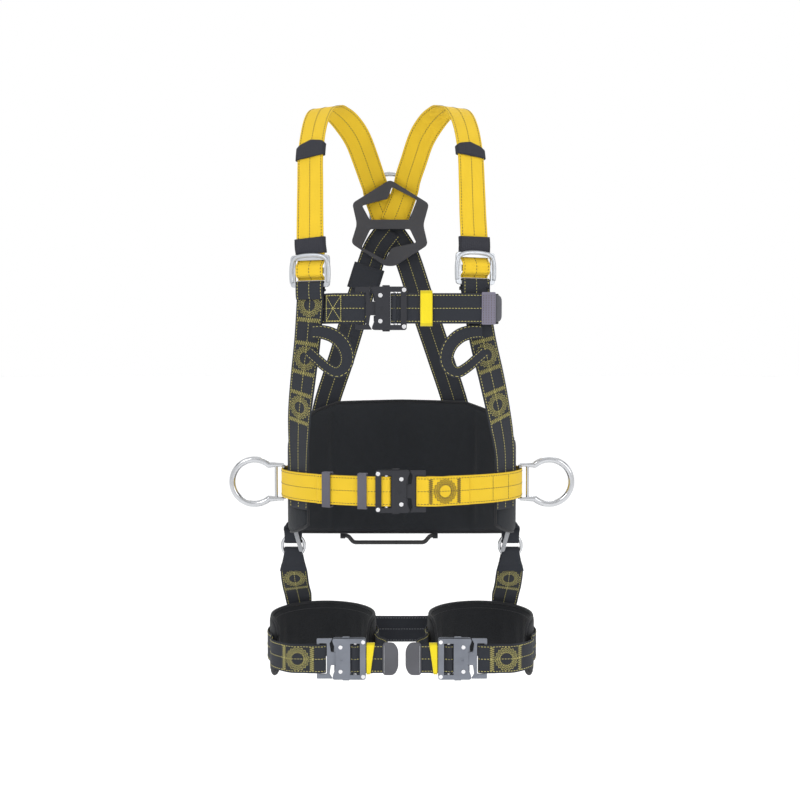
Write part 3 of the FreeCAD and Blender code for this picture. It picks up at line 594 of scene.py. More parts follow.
# From the dorsal plate down to the lumbar pad.
LEFT_BACK = [
    (-20, 116.4, -178, 0.92, 0, -0.40), (-40, 116.4, -204, 0.92, 0, -0.40),
    (-52, 116.4, -231, 0.93, 0, -0.37), (-78, 113, -314, 0.95, 0.05, -0.30),
    (-103, 105.5, -397, 0.95, 0.15, -0.30), (-129, 94.5, -478, 0.93, 0.32, -0.20),
    (-139, 86, -530, 0.88, 0.45, -0.10), (-142, 83.5, -571, 0.87, 0.48, 0),
]
RIGHT_BACK = [
    (-25, 118.9, -175, 0.92, 0, 0.40), (-3.5, 118.9, -204, 0.92, 0, 0.40),
    (11, 118.9, -231, 0.93, 0, 0.37), (38, 115.5, -314, 0.95, -0.05, 0.30),
    (66, 111, -397, 0.95, -0.15, 0.30), (93, 106, -480, 0.95, -0.22, 0.20),
    (103, 101.5, -530, 0.93, -0.33, 0.10), (107, 99.5, -571, 0.92, -0.36, 0),
]
# From the adjuster down over the side of the lumbar pad.
LEFT_TORSO = [
    (-137.2, -118.5, -304, 0.93, -0.36, 0), (-142, -113.5, -370, 0.92, -0.40, 0),
    (-150, -103, -430, 0.88, -0.47, 0), (-157.5, -86, -485, 0.82, -0.57, 0),
    (-161, -68.5, -535, 0.75, -0.66, 0), (-161.7, -61.0, -578, 0.70, -0.714, 0),
    (-161.7, -60.6, -606, 0.70, -0.714, 0), (-161.7, -60.6, -636, 0.70, -0.714, 0),
]
RIGHT_TORSO = [
    (112.2, -118.5, -304, 0.93, 0.36, 0), (121, -114, -370, 0.92, 0.40, 0),
    (136, -104, -430, 0.88, 0.47, 0), (149, -87, -485, 0.82, 0.57, 0),
    (159, -68.5, -535, 0.75, 0.66, 0), (161.7, -61.0, -578, 0.70, 0.714, 0),
    (161.7, -60.6, -606, 0.70, 0.714, 0), (161.7, -60.6, -636, 0.70, 0.714, 0),
]
STRAP_END = [(3.5, 26, WEB), (3.5, 14, WEB), (0.0, 9.0, WEB), (-3.5, 4.5, WEB), (-3.6, -6.5, WEB),
             (0.5, -10.3, WEB), (4.0, -12.0, WEB), (4.9, -15.5, WEB)]


def wide(rows, width=WEB):
    return [list(r) + [width] for r in rows]


def tracers(band, s0=None):
    """The three woven dashed lines along a strap."""
    return [seg for a in (-EDGE, 0.0, EDGE) for seg in dashes(band, a, s0 or band.s[0], band.s[-1])]


def shoulder_strap(side, rows):
    origin, deg = ADJUSTERS[side]
    band = Band(local_rows(origin, deg, STRAP_END)[::-1] + wide(rows), 5)
    strap = band_mesh("shoulder_strap_%s_look" % side, band, YELLOW)
    piece(strap, TOP, "yellow_webbing", "shoulder_strap_" + side)
    stitched(strap, "shoulder_strap_%s_tracers" % side, tracers(band), DARK_THREAD, 0.55)
    return strap


def torso_strap(side, rows):
    """A torso strap, folded round its adjuster's bottom bar, with its lock stitches."""
    origin, deg = ADJUSTERS[side]
    fold = [(-1.6, -44.0, WEB), (-3.9, -36.0, WEB)]
    fold += [(-x, -21.2 + y, WEB) for x, y in half_turn(3.9, 0)]
    fold += [(3.9, -30.0, WEB), (0.9, -37.5, WEB)]
    band = Band(local_rows(origin, deg, fold) + wide(rows[1:]), 5)
    strap = band_mesh("torso_strap_%s_look" % side, band, BLACK)
    heights = {"left": (-320, -400, -475), "right": (-317, -395, -471)}[side]
    face = 1 if band.normal[-1][1] < 0 else -1
    begin = band.where(2, -300, 60.0)
    places = [band.where(2, z, begin) for z in heights]
    rings = [seg for at in places for seg in lock_stitch(band, at, face, WEB_T / 2 + 0.4)]
    inside = [seg for at in places for seg in lock_stitch(band, at, -face)]
    lines = tracers(band)
    return [strap, threads("torso_tracers", lines, GOLD_THREAD, 0.45),
            threads("torso_rings", rings + inside, GOLD_THREAD, 0.26)]


def back_strap(side, rows):
    band = Band(wide(rows), 5)
    strap = band_mesh("back_strap_%s_look" % side, band, BLACK)
    return [strap, threads("back_tracers", tracers(band), GOLD_THREAD, 0.45)]


def paired(name, body, slot, node, makers):
    """Both sides of a pair as one piece, with their stitching as a second piece on it."""
    cloth = joined(name, [m[0] for m in makers])
    piece(cloth, body, slot, node)
    thread_parts = [o for m in makers for o in m[1:]]
    if thread_parts:
        attach(joined(name + "_stitching", thread_parts), cloth)
    return cloth


def build_torso():
    left, right = wide(LEFT_SHOULDER), wide(RIGHT_SHOULDER)
    shoulder_strap("left", LEFT_SHOULDER)
    shoulder_strap("right", RIGHT_SHOULDER)
    paired("torso_straps_look", TOP, "black_webbing", "torso_straps",
           [torso_strap("left", LEFT_TORSO), torso_strap("right", RIGHT_TORSO)])
    paired("back_straps_look", TOP, "black_webbing", "back_straps",
           [back_strap("left", LEFT_BACK), back_strap("right", RIGHT_BACK)])
    for node, low, high, dome in (("shoulder_patches", -99, -76, 11.0),
                                  ("shoulder_keepers", -245, -218, 0.0)):
        made = []
        for side, rows in (("left", left), ("right", right)):
            rows = local_rows(*ADJUSTERS[side], STRAP_END[1::-1]) + rows
            fine = [r for r in smooth(rows, 8) if low <= r[2] <= high and r[1] < 0]
            made.append([sleeve_mesh(node, fine, ELASTIC, 51, dome=dome)])
        paired(node + "_look", TOP, "black_elastic", node, made)
    fine = [r for r in smooth(wide(LEFT_BACK), 6) if -292 <= r[2] <= -240]
    cover = sleeve_mesh("back_strap_sleeve_look", fine, BLACK, 54, wall=1.0)
    piece(cover, TOP, "black_webbing", "back_strap_sleeve")


# --- chest --------------------------------------------------------------------------------
def box_stitch(band, s0, s1, half, side, lift=WEB_T / 2 - 0.05, step=3.0):
    """A sewn rectangle with a cross in it."""
    corners = [(s0, -half), (s1, -half), (s1, half), (s0, half), (s0, -half), (s1, half), (s0, half),
               (s1, -half)]
    out = []
    for (sa, aa), (sb, ab) in zip(corners, corners[1:]):
        count = max(int(math.hypot(sb - sa, ab - aa) / step), 2)
        for k in range(count):
            u, v = k / count, (k + 0.75) / count
            pts = [(sa + (sb - sa) * t, aa + (ab - aa) * t) for t in (u, v)]
            out += zigzag(band, pts, side, lift)
    return out


def chest_left():
    """From the torso strap to the tongue; the end that comes back is sewn down with a box."""
    front = [(-113.5, -127.2), (-106.0, -131.6), (-98.0, -135.4)]
    main = [(-105, -128.4), (-113, -123.4), (-125, -118.4), (-137, -113.4), (-158, -104.8)]
    band = Band(level(front, CHEST_Z) + buckle_rows("chest", loop_path()) + level(main, CHEST_Z), 5)
    strap = band_mesh("chest_strap_left_look", band, BLACK)
    lines = threads("chest_left_tracers", tracers(band), GOLD_THREAD, 0.45)
    face = 1 if band.normal[2][1] < 0 else -1
    cross = box_stitch(band, 2.0, 25.0, 18.5, face, WEB_T / 2 + 0.2)
    box = threads("chest_box_stitch", cross, GOLD_THREAD, 0.5)
    spanning([strap, lines, box], "chest_strap_left")


def chest_right():
    tail = [(133.0, -131.6), (100.0, -135.0), (60.0, -135.5)]
    main = [(60.0, -132.5), (98.0, -131.4), (120.0, -127.6), (139.0, -120.5), (144.0, -114.5),
            (141.0, -108.5), (134.0, -108.0), (120.0, -113.6), (104.0, -119.4)]
    band = Band(level(tail, CHEST_Z) + buckle_rows("chest", roll_path()) + level(main, CHEST_Z), 5)
    strap = band_mesh("chest_strap_right_look", band, BLACK)
    piece(strap, TOP, "black_webbing", "chest_strap_right")
    stitched(strap, "chest_right_tracers", tracers(band), GOLD_THREAD, 0.45)


def loop_band(name, x0, x1, y0, y1, z0, z1, wall, material, taper=0.0):
    """A closed elastic band round a level strap, narrower by taper at its lower edge."""
    around, turns = 48, 7
    verts, uvs = [], []
    for shell in (0.0, wall):
        hy, hz = (y1 - y0) / 2 - shell, (z1 - z0) / 2 - shell
        for i in range(turns):
            share = i / (turns - 1)
            for k in range(around):
                a = 2 * math.pi * k / around
                dz = math.copysign(abs(math.sin(a)) ** 0.25, math.sin(a)) * hz
                dy = math.copysign(abs(math.cos(a)) ** 0.6, math.cos(a)) * hy
                down = (hz - dz) / (2 * hz)
                x = x0 + (x1 - x0) * share + down * (-taper * share)
                verts.append((x, (y0 + y1) / 2 + dy, (z0 + z1) / 2 + dz))
                uvs.append((dz * MM, x * MM, 0.0))
    return outward(new_object(name, np.array(verts), shell_faces(turns, around), material, uvs))


def chest_loop(side):
    """A textile attachment loop: webbing folded lengthways, hanging on the inner edge of its strap."""
    path = [(-135, -360.5), (-118, -361), (-101, -367), (-87, -381), (-81.5, -400), (-87, -415),
            (-99, -420.5), (-113, -413), (-128, -400), (-140, -389)]
    widths = [19, 21, 22, 22, 21, 19, 17, 16, 16, 16]
    fine = smooth([list(p) + [w] for p, w in zip(path, widths)], 5)
    ahead = np.gradient(fine[:, :2], axis=0)
    y = -127.6
    rows = []
    for (x, z, w), (dx, dz) in zip(fine, ahead):
        if side == "right":
            rows.append((-15.4 - x, y, z, -dz, 0.0, -dx, w))
        else:
            rows.append((x, y, z, dz, 0.0, -dx, w))
    band = Band(rows, 2)
    name = "chest_loop_" + side
    loop = band_mesh(name + "_look", band, BLACK, 3.9, 10)
    piece(loop, name, "black_webbing", name)
    lines = []
    for edge in (-1, 1):
        half = band.w / 2 - 2.2
        starts = np.arange(2.0, band.s[-1] - 5.0, 5.0)
        width = np.interp(starts, band.s, half) * edge
        for face in (1, -1):
            first, last = band.at(starts, width, face * 1.9), band.at(starts + 3.2, width, face * 1.9)
            off = unit(band.at(starts, width, face * 4.0) - band.at(starts, width, 0.0))
            lines += list(zip(first, last, off))
    stitched(loop, name + "_stitching", lines, GOLD_THREAD, 0.4)


def end_tab():
    """The woven end tab of the chest strap, with its sewn columns, and the rounded tab behind it."""
    y, z = BUCKLES["chest"][1:3]
    woven = [(118, z - 24), (138.5, z - 24), (138.5, z + 24), (118, z + 24)]
    verts, faces = rounded_slab(woven, 2.0, y - 2.4, y - 0.4)
    tab = outward(new_object("chest_end_tab_look", verts, faces, TAB))
    soften(tab, 0.5)
    piece(tab, TOP, "grey_plastic", "chest_end_tab")
    columns = [((x, y - 2.4, z + w), (x, y - 2.4, z + w + 2.4), (0, -1, 0))
               for x in (120.4, 124.4, 128.4, 132.4, 136.2) for w in np.arange(-22, 20, 3.6)]
    stitched(tab, "chest_end_tab_stitching", columns, DARK_THREAD, 0.35)
    grip = [(131, z - 20), (148, z - 20), (148, z + 20), (131, z + 20)]
    verts, faces = rounded_slab(grip, 10.0, y + 1.4, y + 3.6)
    behind = soften(outward(new_object("chest_end_tab_grip", verts, faces, CAP)), 0.7)
    attach(behind, tab)


def rounded_slab(points, radius, y0, y1, steps=6):
    """A prism between two Y planes from an outline in X and Z with rounded corners."""
    ring = []
    for i, corner in enumerate(points):
        corner = np.array(corner, float)
        ends = []
        for other in (points[i - 1], points[(i + 1) % len(points)]):
            d = np.array(other, float) - corner
            ends.append(corner + d / np.linalg.norm(d) * min(radius, 0.45 * np.linalg.norm(d)))
        for k in range(steps + 1):
            s = k / steps
            ring.append((1 - s) ** 2 * ends[0] + 2 * s * (1 - s) * corner + s * s * ends[1])
    verts = [(x, y, z) for y in (y0, y1) for x, z in ring]
    return np.array(verts), tube_faces(2, len(ring))


def soften(obj, width, segments=3, angle=35.0):
    """Round an object's sharp edges."""
    bevel = obj.modifiers.new("soften", "BEVEL")
    bevel.width, bevel.segments = width * MM, segments
    bevel.limit_method, bevel.angle_limit = "ANGLE", math.radians(angle)
    bevel.harden_normals = True
    return obj


# --- waist --------------------------------------------------------------------------------
def waist_path(deg0, deg1, off, steps):
    return [oval(PAD_A, PAD_B, deg0 + (deg1 - deg0) * k / steps, off) for k in range(steps + 1)]


def belt():
    """The belt's three lengths: buckle to left ring, buckle to right ring, and round the back."""
    tail = waist_path(228.0, 248.0, BELT_OFF + 3.0, 4)
    roll = buckle_rows("belt", [(54.0, -1.5)] + roll_path() + [(54.0, 1.5)])
    main = waist_path(248.0, SIDE_DEG - 1.5, BELT_OFF, 14)
    left = Band(level(tail, BELT_Z) + roll + level(main, BELT_Z), 4)
    front = waist_path(302.0, 296.0, BELT_OFF + 2.3, 3)
    rest = waist_path(292.0, 360 + 180 - SIDE_DEG + 1.5, BELT_OFF, 14)
    right = Band(level(front, BELT_Z) + buckle_rows("belt", loop_path()) + level(rest, BELT_Z), 4)
    back = Band(level(waist_path(SIDE_DEG - 2.0, 180 - SIDE_DEG + 2.0, BELT_OFF, 40), BELT_Z), 2)
    for side, band in (("left", left), ("right", right), ("back", back)):
        name = "belt_strap_" + side
        strap = band_mesh(name + "_look", band, YELLOW)
        lines = tracers(band)
        if side == "right":
            face = 1 if band.normal[3][1] < 0 else -1
            at = band.where(0, 65.0)
            lines += lock_stitch(band, at, face, WEB_T / 2 + 0.2)
            for x in (140.0, 166.0):
                s = band.where(0, x, band.s[-1] * 0.4)
                lines += zigzag_line(band, s, face)
        sewn = threads(name + "_stitching", lines, DARK_THREAD, 0.5)
        if side == "right":
            spanning([strap, sewn], name)
        else:
            attach(sewn, piece(strap, TOP, "yellow_webbing", name))


def zigzag_line(band, s, side, half=19.0, count=16):
    """A straight seam right across a strap."""
    step = 2 * half / count
    faces = (side, -side)
    return [seg for f in faces for k in range(count)
            for seg in zigzag(band, [(s, -half + k * step), (s, -half + (k + 0.8) * step)], f)]


def pad_height(x, table):
    """An outline's height at a distance from the centre plane."""
    return np.interp(abs(x), [p[0] for p in table], [p[1] for p in table])


def grid_pad(name, columns, rows, point, material, uv):
    """A closed pad from a grid: point(i share, j share, face) gives a place on its outer or inner face."""
    verts, uvs, index = [], [], {}
    for face in (0, 1):
        for i in range(columns + 1):
            for j in range(rows + 1):
                rim = i in (0, columns) or j in (0, rows)
                if face == 1 and rim:
                    index[face, i, j] = index[0, i, j]
                    continue
                index[face, i, j] = len(verts)
                verts.append(point(i / columns, j / rows, face))
                uvs.append(uv(i / columns, j / rows))
    faces = []
    for face in (0, 1):
        for i in range(columns):
            for j in range(rows):
                corners = ((i, j), (i + 1, j), (i + 1, j + 1), (i, j + 1))
                quad = [index[face, a, b] for a, b in corners]
                faces.append(quad if face == 0 else quad[::-1])
    return outward(new_object(name, np.array(verts), faces, material, uvs)), index


def rim_path(point, columns, rows):
    """Places right round a pad's edge, from a function of the shares along it and up it."""
    rim = [point(i / columns, 1.0) for i in range(columns + 1)]
    rim += [point(1.0, j / rows) for j in range(rows - 1, 0, -1)]
    rim += [point(i / columns, 0.0) for i in range(columns, -1, -1)]
    return rim + [point(0.0, j / rows) for j in range(1, rows)]


def crown(i, j, flat):
    """How full a panel is at a place in it: none at its edge, and full inside."""
    edge = (1 - abs(2 * i - 1) ** flat) * (1 - abs(2 * j - 1) ** flat)
    return max(edge, 0.0) ** 0.5


def inflate(obj, pinned, cap, pressure=4.0, frames=20):
    """Puff a pad up by cloth simulation with its seams pinned, by no more than a cap in millimetres."""
    group = obj.vertex_groups.new(name="seams")
    group.add(pinned, 1.0, "REPLACE")
    cloth = obj.modifiers.new("puff", "CLOTH")
    cloth.settings.vertex_group_mass = "seams"
    cloth.settings.use_pressure = True
    cloth.settings.uniform_pressure_force = pressure
    cloth.settings.effector_weights.gravity = 0.0
    cloth.settings.tension_stiffness = 12.0
    cloth.settings.shear_stiffness = 6.0
    cloth.settings.bending_stiffness = 0.4
    scene = bpy.context.scene
    scene.frame_start, scene.frame_end = 1, frames
    cloth.point_cache.frame_start, cloth.point_cache.frame_end = 1, frames
    for f in range(1, frames + 1):
        scene.frame_set(f)
    evaluated = obj.evaluated_get(bpy.context.evaluated_depsgraph_get())
    count = len(obj.data.vertices)
    rest, moved = np.empty(count * 3, np.float32), np.empty(count * 3, np.float32)
    obj.data.vertices.foreach_get("co", rest)
    evaluated.data.vertices.foreach_get("co", moved)
    step = (moved - rest).reshape(-1, 3)
    far = np.linalg.norm(step, axis=1, keepdims=True)
    step *= np.minimum(1.0, cap * MM / np.maximum(far, 1e-9))
    obj.modifiers.remove(cloth)
    obj.data.vertices.foreach_set("co", (rest.reshape(-1, 3) + step).ravel())
    obj.data.update()
    obj.vertex_groups.remove(group)
    scene.frame_set(1)
    return obj


PAD_TOP = [(0, -474), (112, -476), (150, -489), (172, -507), (188, -531)]
PAD_FROM, PAD_TO = -36.0, 216.0        # the wings' front edges, in degrees round the waist
PANEL_SEAMS = (12.0, 47.0, 131.0, 168.0)
CREASE_Z = -590.0


def pad_point(i, j, face):
    deg = PAD_FROM + (PAD_TO - PAD_FROM) * i
    x, y_out = oval(PAD_A, PAD_B, deg)
    wing = max(0.0, -math.sin(math.radians(deg))) / math.sin(math.radians(-PAD_FROM))
    x_out = PAD_A if wing > 0 else abs(x)
    round_off = 10.0 * wing ** 6
    low, high = -683.0 - 0.18 * y_out + round_off, pad_height(x_out, PAD_TOP) - round_off
    z = low + (high - low) * j
    full = crown(i, j, 14.0)
    near = min(abs(deg - s) for s in PANEL_SEAMS) * 2.6
    full *= 0.45 + 0.55 * min(near / 9.0, 1.0) ** 0.5
    crease = min(abs(z - CREASE_Z) / 9.0, 1.0) ** 0.5 if PANEL_SEAMS[1] < deg < PANEL_SEAMS[2] else 1.0
    full *= 0.55 + 0.45 * crease
    half = PAD_T / 2
    off = -half - 0.5 + (half - 1.0) * full * (1 if face == 0 else -1.15)
    px, py = oval(PAD_A, PAD_B, deg, off)
    return px, py, z


def lumbar_pad():
    columns, rows = 132, 46
    pad, index = grid_pad("lumbar_pad_look", columns, rows, pad_point, PAD,
                          lambda i, j: (0.6 * i, 0.23 * j, 0.0))
    pinned = set()
    for (face, i, j), v in index.items():
        deg = PAD_FROM + (PAD_TO - PAD_FROM) * i / columns
        z = pad_point(i / columns, j / rows, 0)[2]
        on_seam = min(abs(deg - s) for s in PANEL_SEAMS) < 0.6 * (PAD_TO - PAD_FROM) / columns
        on_crease = PANEL_SEAMS[1] < deg < PANEL_SEAMS[2] and abs(z - CREASE_Z) < 3.0
        if i in (0, columns) or j in (0, rows) or on_seam or on_crease or face == 0:
            pinned.add(v)
    inflate(pad, sorted(pinned), 3.2)
    pad.modifiers.new("finer", "SUBSURF").levels = 1
    pad.modifiers["finer"].render_levels = 1
    piece(pad, TOP, "pad_fabric", "lumbar_pad")
    rim = rim_path(lambda i, j: pad_point(i, j, 0), columns, rows)
    attach(tube_mesh("lumbar_pad_piping", rim, 2.3, PIPING, 8, True), pad)
    seams = []
    for deg in PANEL_SEAMS:
        i = (deg - PAD_FROM) / (PAD_TO - PAD_FROM)
        for k in range(38):
            j0, j1 = 0.05 + 0.9 * k / 38, 0.05 + 0.9 * (k + 0.62) / 38
            for face in (0, 1):
                start, end = np.array(pad_point(i, j0, face)), np.array(pad_point(i, j1, face))
                away = start - np.array(pad_point(i, j0, 1 - face))
                seams.append((start, end, unit(away)))
    for k in range(60):
        degs = [PANEL_SEAMS[1] + (PANEL_SEAMS[2] - PANEL_SEAMS[1]) * (k + t) / 60 for t in (0.0, 0.6)]
        ends = []
        for deg in degs:
            i = (deg - PAD_FROM) / (PAD_TO - PAD_FROM)
            low, high = pad_point(i, 0.0, 0)[2], pad_point(i, 1.0, 0)[2]
            ends.append(np.array(pad_point(i, (CREASE_Z - low) / (high - low), 1)))
        seams.append((ends[0], ends[1], unit(np.array([-ends[0][0], -ends[0][1], 0.0]))))
    stitched(pad, "lumbar_pad_stitching", seams, PAD_THREAD, 0.4)


# --- legs ---------------------------------------------------------------------------------
def mirror_rows(rows):
    """The same strap on the other side of the centre plane."""
    return [[-r[0], r[1], r[2], -r[3], r[4], r[5], r[6]] if r[5] < 0.9 else
            [-r[0], r[1], r[2], r[3], r[4], r[5], r[6]] for r in rows]


def leg_rows():
    front = [(-178, -86.0), (-196, -74.0), (-207, -58.0)]
    around = [oval(LEG_A, LEG_B, d, 1.8, -LEG_X) for d in range(208, -24, -8)]
    inner = [(-37, -44.0), (-28, -56.0), (-23.5, -68.0), (-24, -79.0), (-29, -86.2), (-37, -88.5)]
    start = [(-188.0, -80.6), (-176.0, -88.6), (-166.0, -91.2)]
    tail = [(-33.0, -91.5), (-12.0, -91.5)]
    return (level(start, LEG_Z) + buckle_rows("left_leg", loop_path()) + level(front + around + inner, LEG_Z)
            + buckle_rows("left_leg", roll_path())[::-1] + level(tail, LEG_Z))


def leg_strap(mirror):
    """The stretch that loops round the tongue is a mesh of its own; the rest of the strap goes on the legs'
    body and keeps its place.
    """
    side = "right" if mirror else "left"
    rows = leg_rows()
    whole = Band(mirror_rows(rows) if mirror else rows, 4)
    split = whole.s[np.searchsorted(whole.s, whole.where(1, -58.0, 80.0))]
    front, rest = whole.cut(0.0, split), whole.cut(split, whole.s[-1])
    face = 1 if front.normal[4][1] < 0 else -1
    rings = lock_stitch(front, front.where(0, 161.8 if mirror else -161.8), face, WEB_T / 2 + 0.1)
    strap = band_mesh("leg_strap_%s_front" % side, front, BLACK)
    sewn = [threads("leg_tracers_" + side, tracers(front), GOLD_THREAD, 0.45),
            threads("leg_rings_" + side, rings, GOLD_THREAD, 0.32)]
    spanning([strap] + sewn, "leg_straps")
    strap = piece(band_mesh("leg_strap_%s_look" % side, rest, BLACK), LEGS, "black_webbing", "leg_straps")
    stitched(strap, "leg_strap_%s_stitching" % side, tracers(rest), GOLD_THREAD, 0.45)


def leg_pad_point(i, j, face, side):
    deg = -28.0 + 244.0 * i
    low, high = LEG_Z - LEG_PAD_H / 2, LEG_Z + LEG_PAD_H / 2
    ends = min(i, 1 - i) * 244.0 * 1.45
    corner = 22.0 * (1 - math.sqrt(max(0.0, 1 - (1 - min(ends / 22.0, 1.0)) ** 2)))
    arch = 3.0 * math.sin(math.pi * i)
    low, high = low + corner, high - corner + arch
    full = crown(i, j, 16.0)
    off = -LEG_T / 2 + (LEG_T / 2 - 0.9) * full * (1 if face == 0 else -1.2)
    x, y = oval(LEG_A, LEG_B, deg, off, -LEG_X)
    return side * -x, y, low + (high - low) * j


def leg_pad(side):
    columns, rows = 78, 20
    pad, index = grid_pad("leg_pad", columns, rows, lambda i, j, f: leg_pad_point(i, j, f, side), LINING,
                          lambda i, j: (0.35 * i, 0.09 * j, 0.0))
    pinned = [v for (face, i, j), v in index.items()
              if i in (0, columns) or j in (0, rows) or face == 0 or j in (2, rows - 2)]
    inflate(pad, sorted(set(pinned)), 2.5)
    rim = rim_path(lambda i, j: leg_pad_point(i, j, 0, side), columns, rows)
    piping = tube_mesh("leg_pad_piping", rim, 2.4, PIPING, 8, True)
    seams = []
    for j in (2 / rows, 1 - 2 / rows):
        for k in range(88):
            start, end = (np.array(leg_pad_point(0.03 + 0.94 * (k + t) / 88, j, 1, side)) for t in (0.0, 0.6))
            away = start - np.array(leg_pad_point(0.03 + 0.94 * k / 88, j, 0, side))
            seams.append((start, end, unit(away)))
    return [pad, piping, threads("leg_pad_seam", seams, PAD_THREAD, 0.4)]


def riser_rows():
    ex, ey = oval(LEG_A, LEG_B, 120.0, 4.6, -LEG_X)
    t = math.radians(120.0)
    nx, ny = math.cos(t) / LEG_A, math.sin(t) / LEG_B
    n = math.hypot(nx, ny)
    tx, ty = ny / n, -nx / n
    ring = [(-1.5, -42.0, WEB), (-1.3, -33.0, 41.0), (-5.4, -24.0, 35.0)]
    ring += [(-5.4 * math.cos(a), -9.0 - 6.5 * math.sin(a), 29.0)
             for a in (math.radians(-22.5 * k) for k in range(9))]
    ring += [(5.4, -24.0, 35.0), (1.6, -34.0, 41.0)]
    path = [(-179.5, 30, -758, 0.99, 0.02, 0, WEB), (-178.5, 46, -782, 0.98, 0.1, 0, WEB),
            (-176.5, 62, -801, 0.95, 0.2, 0, WEB), (ex, ey - 1, -816, tx, ty, 0, WEB),
            (ex, ey, -826, tx, ty, 0, WEB), (ex, ey, -838, tx, ty, 0, WEB)]
    return local_rows((-RING[0], RING[1], RING[2]), 0.0, ring) + path


def leg_riser(mirror):
    rows = riser_rows()
    band = Band(mirror_rows(rows) if mirror else rows, 5)
    strap = band_mesh("leg_riser", band, BLACK)
    face = 1 if band.normal[-1][1] < 0 else -1
    at = band.where(2, -768.0, band.s[-1] * 0.45)
    rings = lock_stitch(band, at, face, WEB_T / 2 - 0.05, 24.0, (1,))
    rings += lock_stitch(band, at, -face, WEB_T / 2 - 0.05, 24.0, (1,))
    return [strap, threads("riser_tracers", tracers(band, band.s[-1] * 0.4), GOLD_THREAD, 0.45),
            threads("riser_rings", rings, GOLD_THREAD, 0.3)]


def grey_highlight_strip(mirror):
    """A painted highlight: a grey strip for the shine on the hip strap's folded edge, lying aslant in front
    of the ring.
    """
    way = 1 if mirror else -1
    y = RING[1] - 11.5
    corners = [(-178.5, -685), (-171.5, -685), (-162.0, -719), (-169.0, -719)]
    verts, faces = rounded_slab([(-way * x, z) for x, z in corners], 3.0, y - 1.4, y + 1.4)
    return soften(outward(new_object("hip_highlight_strip", verts, faces, GREY_THREAD_AND_HIGHLIGHT)), 0.8)


def hip_strap(mirror):
    ring = [(-1.3, 27.5, 32.0), (-4.0, 22.0, 29.0)]
    ring += [(-4.2 * math.cos(a), 10.0 - 5.0 * math.sin(a), 28.0)
             for a in (math.radians(22.5 * k) for k in range(9))]
    ring += [(4.0, 22.0, 29.0), (1.2, 26.5, 32.0)]
    path = [(-178.2, 24.8, -677, 0.80, 0.60, 0, 34.0), (-176.8, 25, -669, 0.50, 0.87, 0, 38.0),
            (-176.6, 25, -656, 0.34, 0.94, 0, 40.0)]
    rows = local_rows((-RING[0], RING[1], RING[2]), 0.0, ring) + path
    band = Band(mirror_rows(rows) if mirror else rows, 5)
    # the grey strip is a painted highlight on the hip strap's folded edge
    return [band_mesh("hip_strap", band, BLACK), grey_highlight_strip(mirror)]


def thigh_strap():
    left = [oval(LEG_A, LEG_B, d, 4.2, -LEG_X) for d in (100, 93, 86, 80)]
    right = [(-x, y) for x, y in reversed(left)]
    band = Band(level(left + [(-60, 77.5), (0, 76), (60, 77.5)] + right, LEG_Z), 6)
    strap = band_mesh("thigh_strap_look", band, BLACK)
    piece(strap, LEGS, "black_webbing", "thigh_strap")
    stitched(strap, "thigh_strap_tracers", tracers(band), GREY_THREAD_AND_HIGHLIGHT, 0.36)


def leg_keeper(side):
    """The slanted elastic keeper behind a leg buckle."""
    way = 1 if side == "left" else -1
    x0 = BUCKLES["left_leg"][0] + BUCKLE_L + 1.2
    body = side + "_leg_keeper"
    keeper = loop_band(body + "_look", x0, x0 + 12.8, LEG_FRONT - 4.4, LEG_FRONT + 4.4,
                       LEG_Z - 24.8, LEG_Z + 24.8, 1.5, BRIGHT_ELASTIC, 7.0)
    if way < 0:
        keeper.data.transform(mathutils.Matrix.Scale(-1.0, 4, (1.0, 0.0, 0.0)))
        keeper.data.flip_normals()
    piece(keeper, body, "yellow_elastic", body)


def leg_tip(side):
    """The moulded cap on a leg strap's free end, with its pale seam line."""
    y = LEG_FRONT - 1.5
    outline = [(-30, -25.3), (-12, -25.3), (-5.5, -14), (-5.5, 14), (-12, 25.3), (-30, 25.3)]
    verts, faces = rounded_slab([(x, z + LEG_Z) for x, z in outline], 6.0, y - 3.1, y + 3.1)
    line = [(-27.4, y - 3.3, LEG_Z + 21 - 42 * t) for t in np.linspace(0, 1, 8)]
    if side == "right":
        verts = verts * np.array([-1.0, 1.0, 1.0])
        line = [(-x, ly, z) for x, ly, z in line]
    cap = soften(outward(new_object("leg_tip", verts, faces, CAP)), 1.4, 4)
    return [cap, tube_mesh("leg_tip_line", line, 0.5, GREY_THREAD_AND_HIGHLIGHT, 6)]


def build_legs():
    leg_strap(False)
    leg_strap(True)
    pads = [leg_pad(-1), leg_pad(1)]
    cloth = paired("leg_pads_look", LEGS, "pad_fabric", "leg_pads", pads)
    paired("leg_risers_look", LEGS, "black_webbing", "leg_risers", [leg_riser(False), leg_riser(True)])
    # the hip straps' second piece holds their grey strips of painted highlight
    paired("hip_straps_look", TOP, "black_webbing", "hip_straps", [hip_strap(False), hip_strap(True)])
    thigh_strap()
    leg_keeper("left")
    leg_keeper("right")
    paired("leg_strap_tips_look", LEGS, "grey_plastic", "leg_strap_tips", [leg_tip("left"), leg_tip("right")])


# --- hardware -----------------------------------------------------------------------------
def hardware(node, material, slot, bevel=0.0, sharp=40.0):
    """A CAD part with its own finish and its sharp edges eased."""
    source = frame["nodes"][node]
    mesh = source.data.copy()
    mesh.materials.clear()
    mesh.materials.append(material)
    bm = bmesh.new()
    bm.from_mesh(mesh)
    bmesh.ops.remove_doubles(bm, verts=bm.verts, dist=1e-6)
    bmesh.ops.dissolve_limit(bm, angle_limit=math.radians(1.0), verts=bm.verts, edges=bm.edges)
    for edge in bm.edges:
        edge.smooth = len(edge.link_faces) == 2 and edge.calc_face_angle(0.0) < math.radians(sharp)
    for face in bm.faces:
        face.smooth = True
    bm.to_mesh(mesh)
    bm.free()
    obj = bpy.data.objects.new(node + "_look", mesh)
    bpy.context.scene.collection.objects.link(obj)
    if bevel:
        soften(obj, bevel, 2, sharp)
    return piece(obj, source["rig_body"], slot, node)


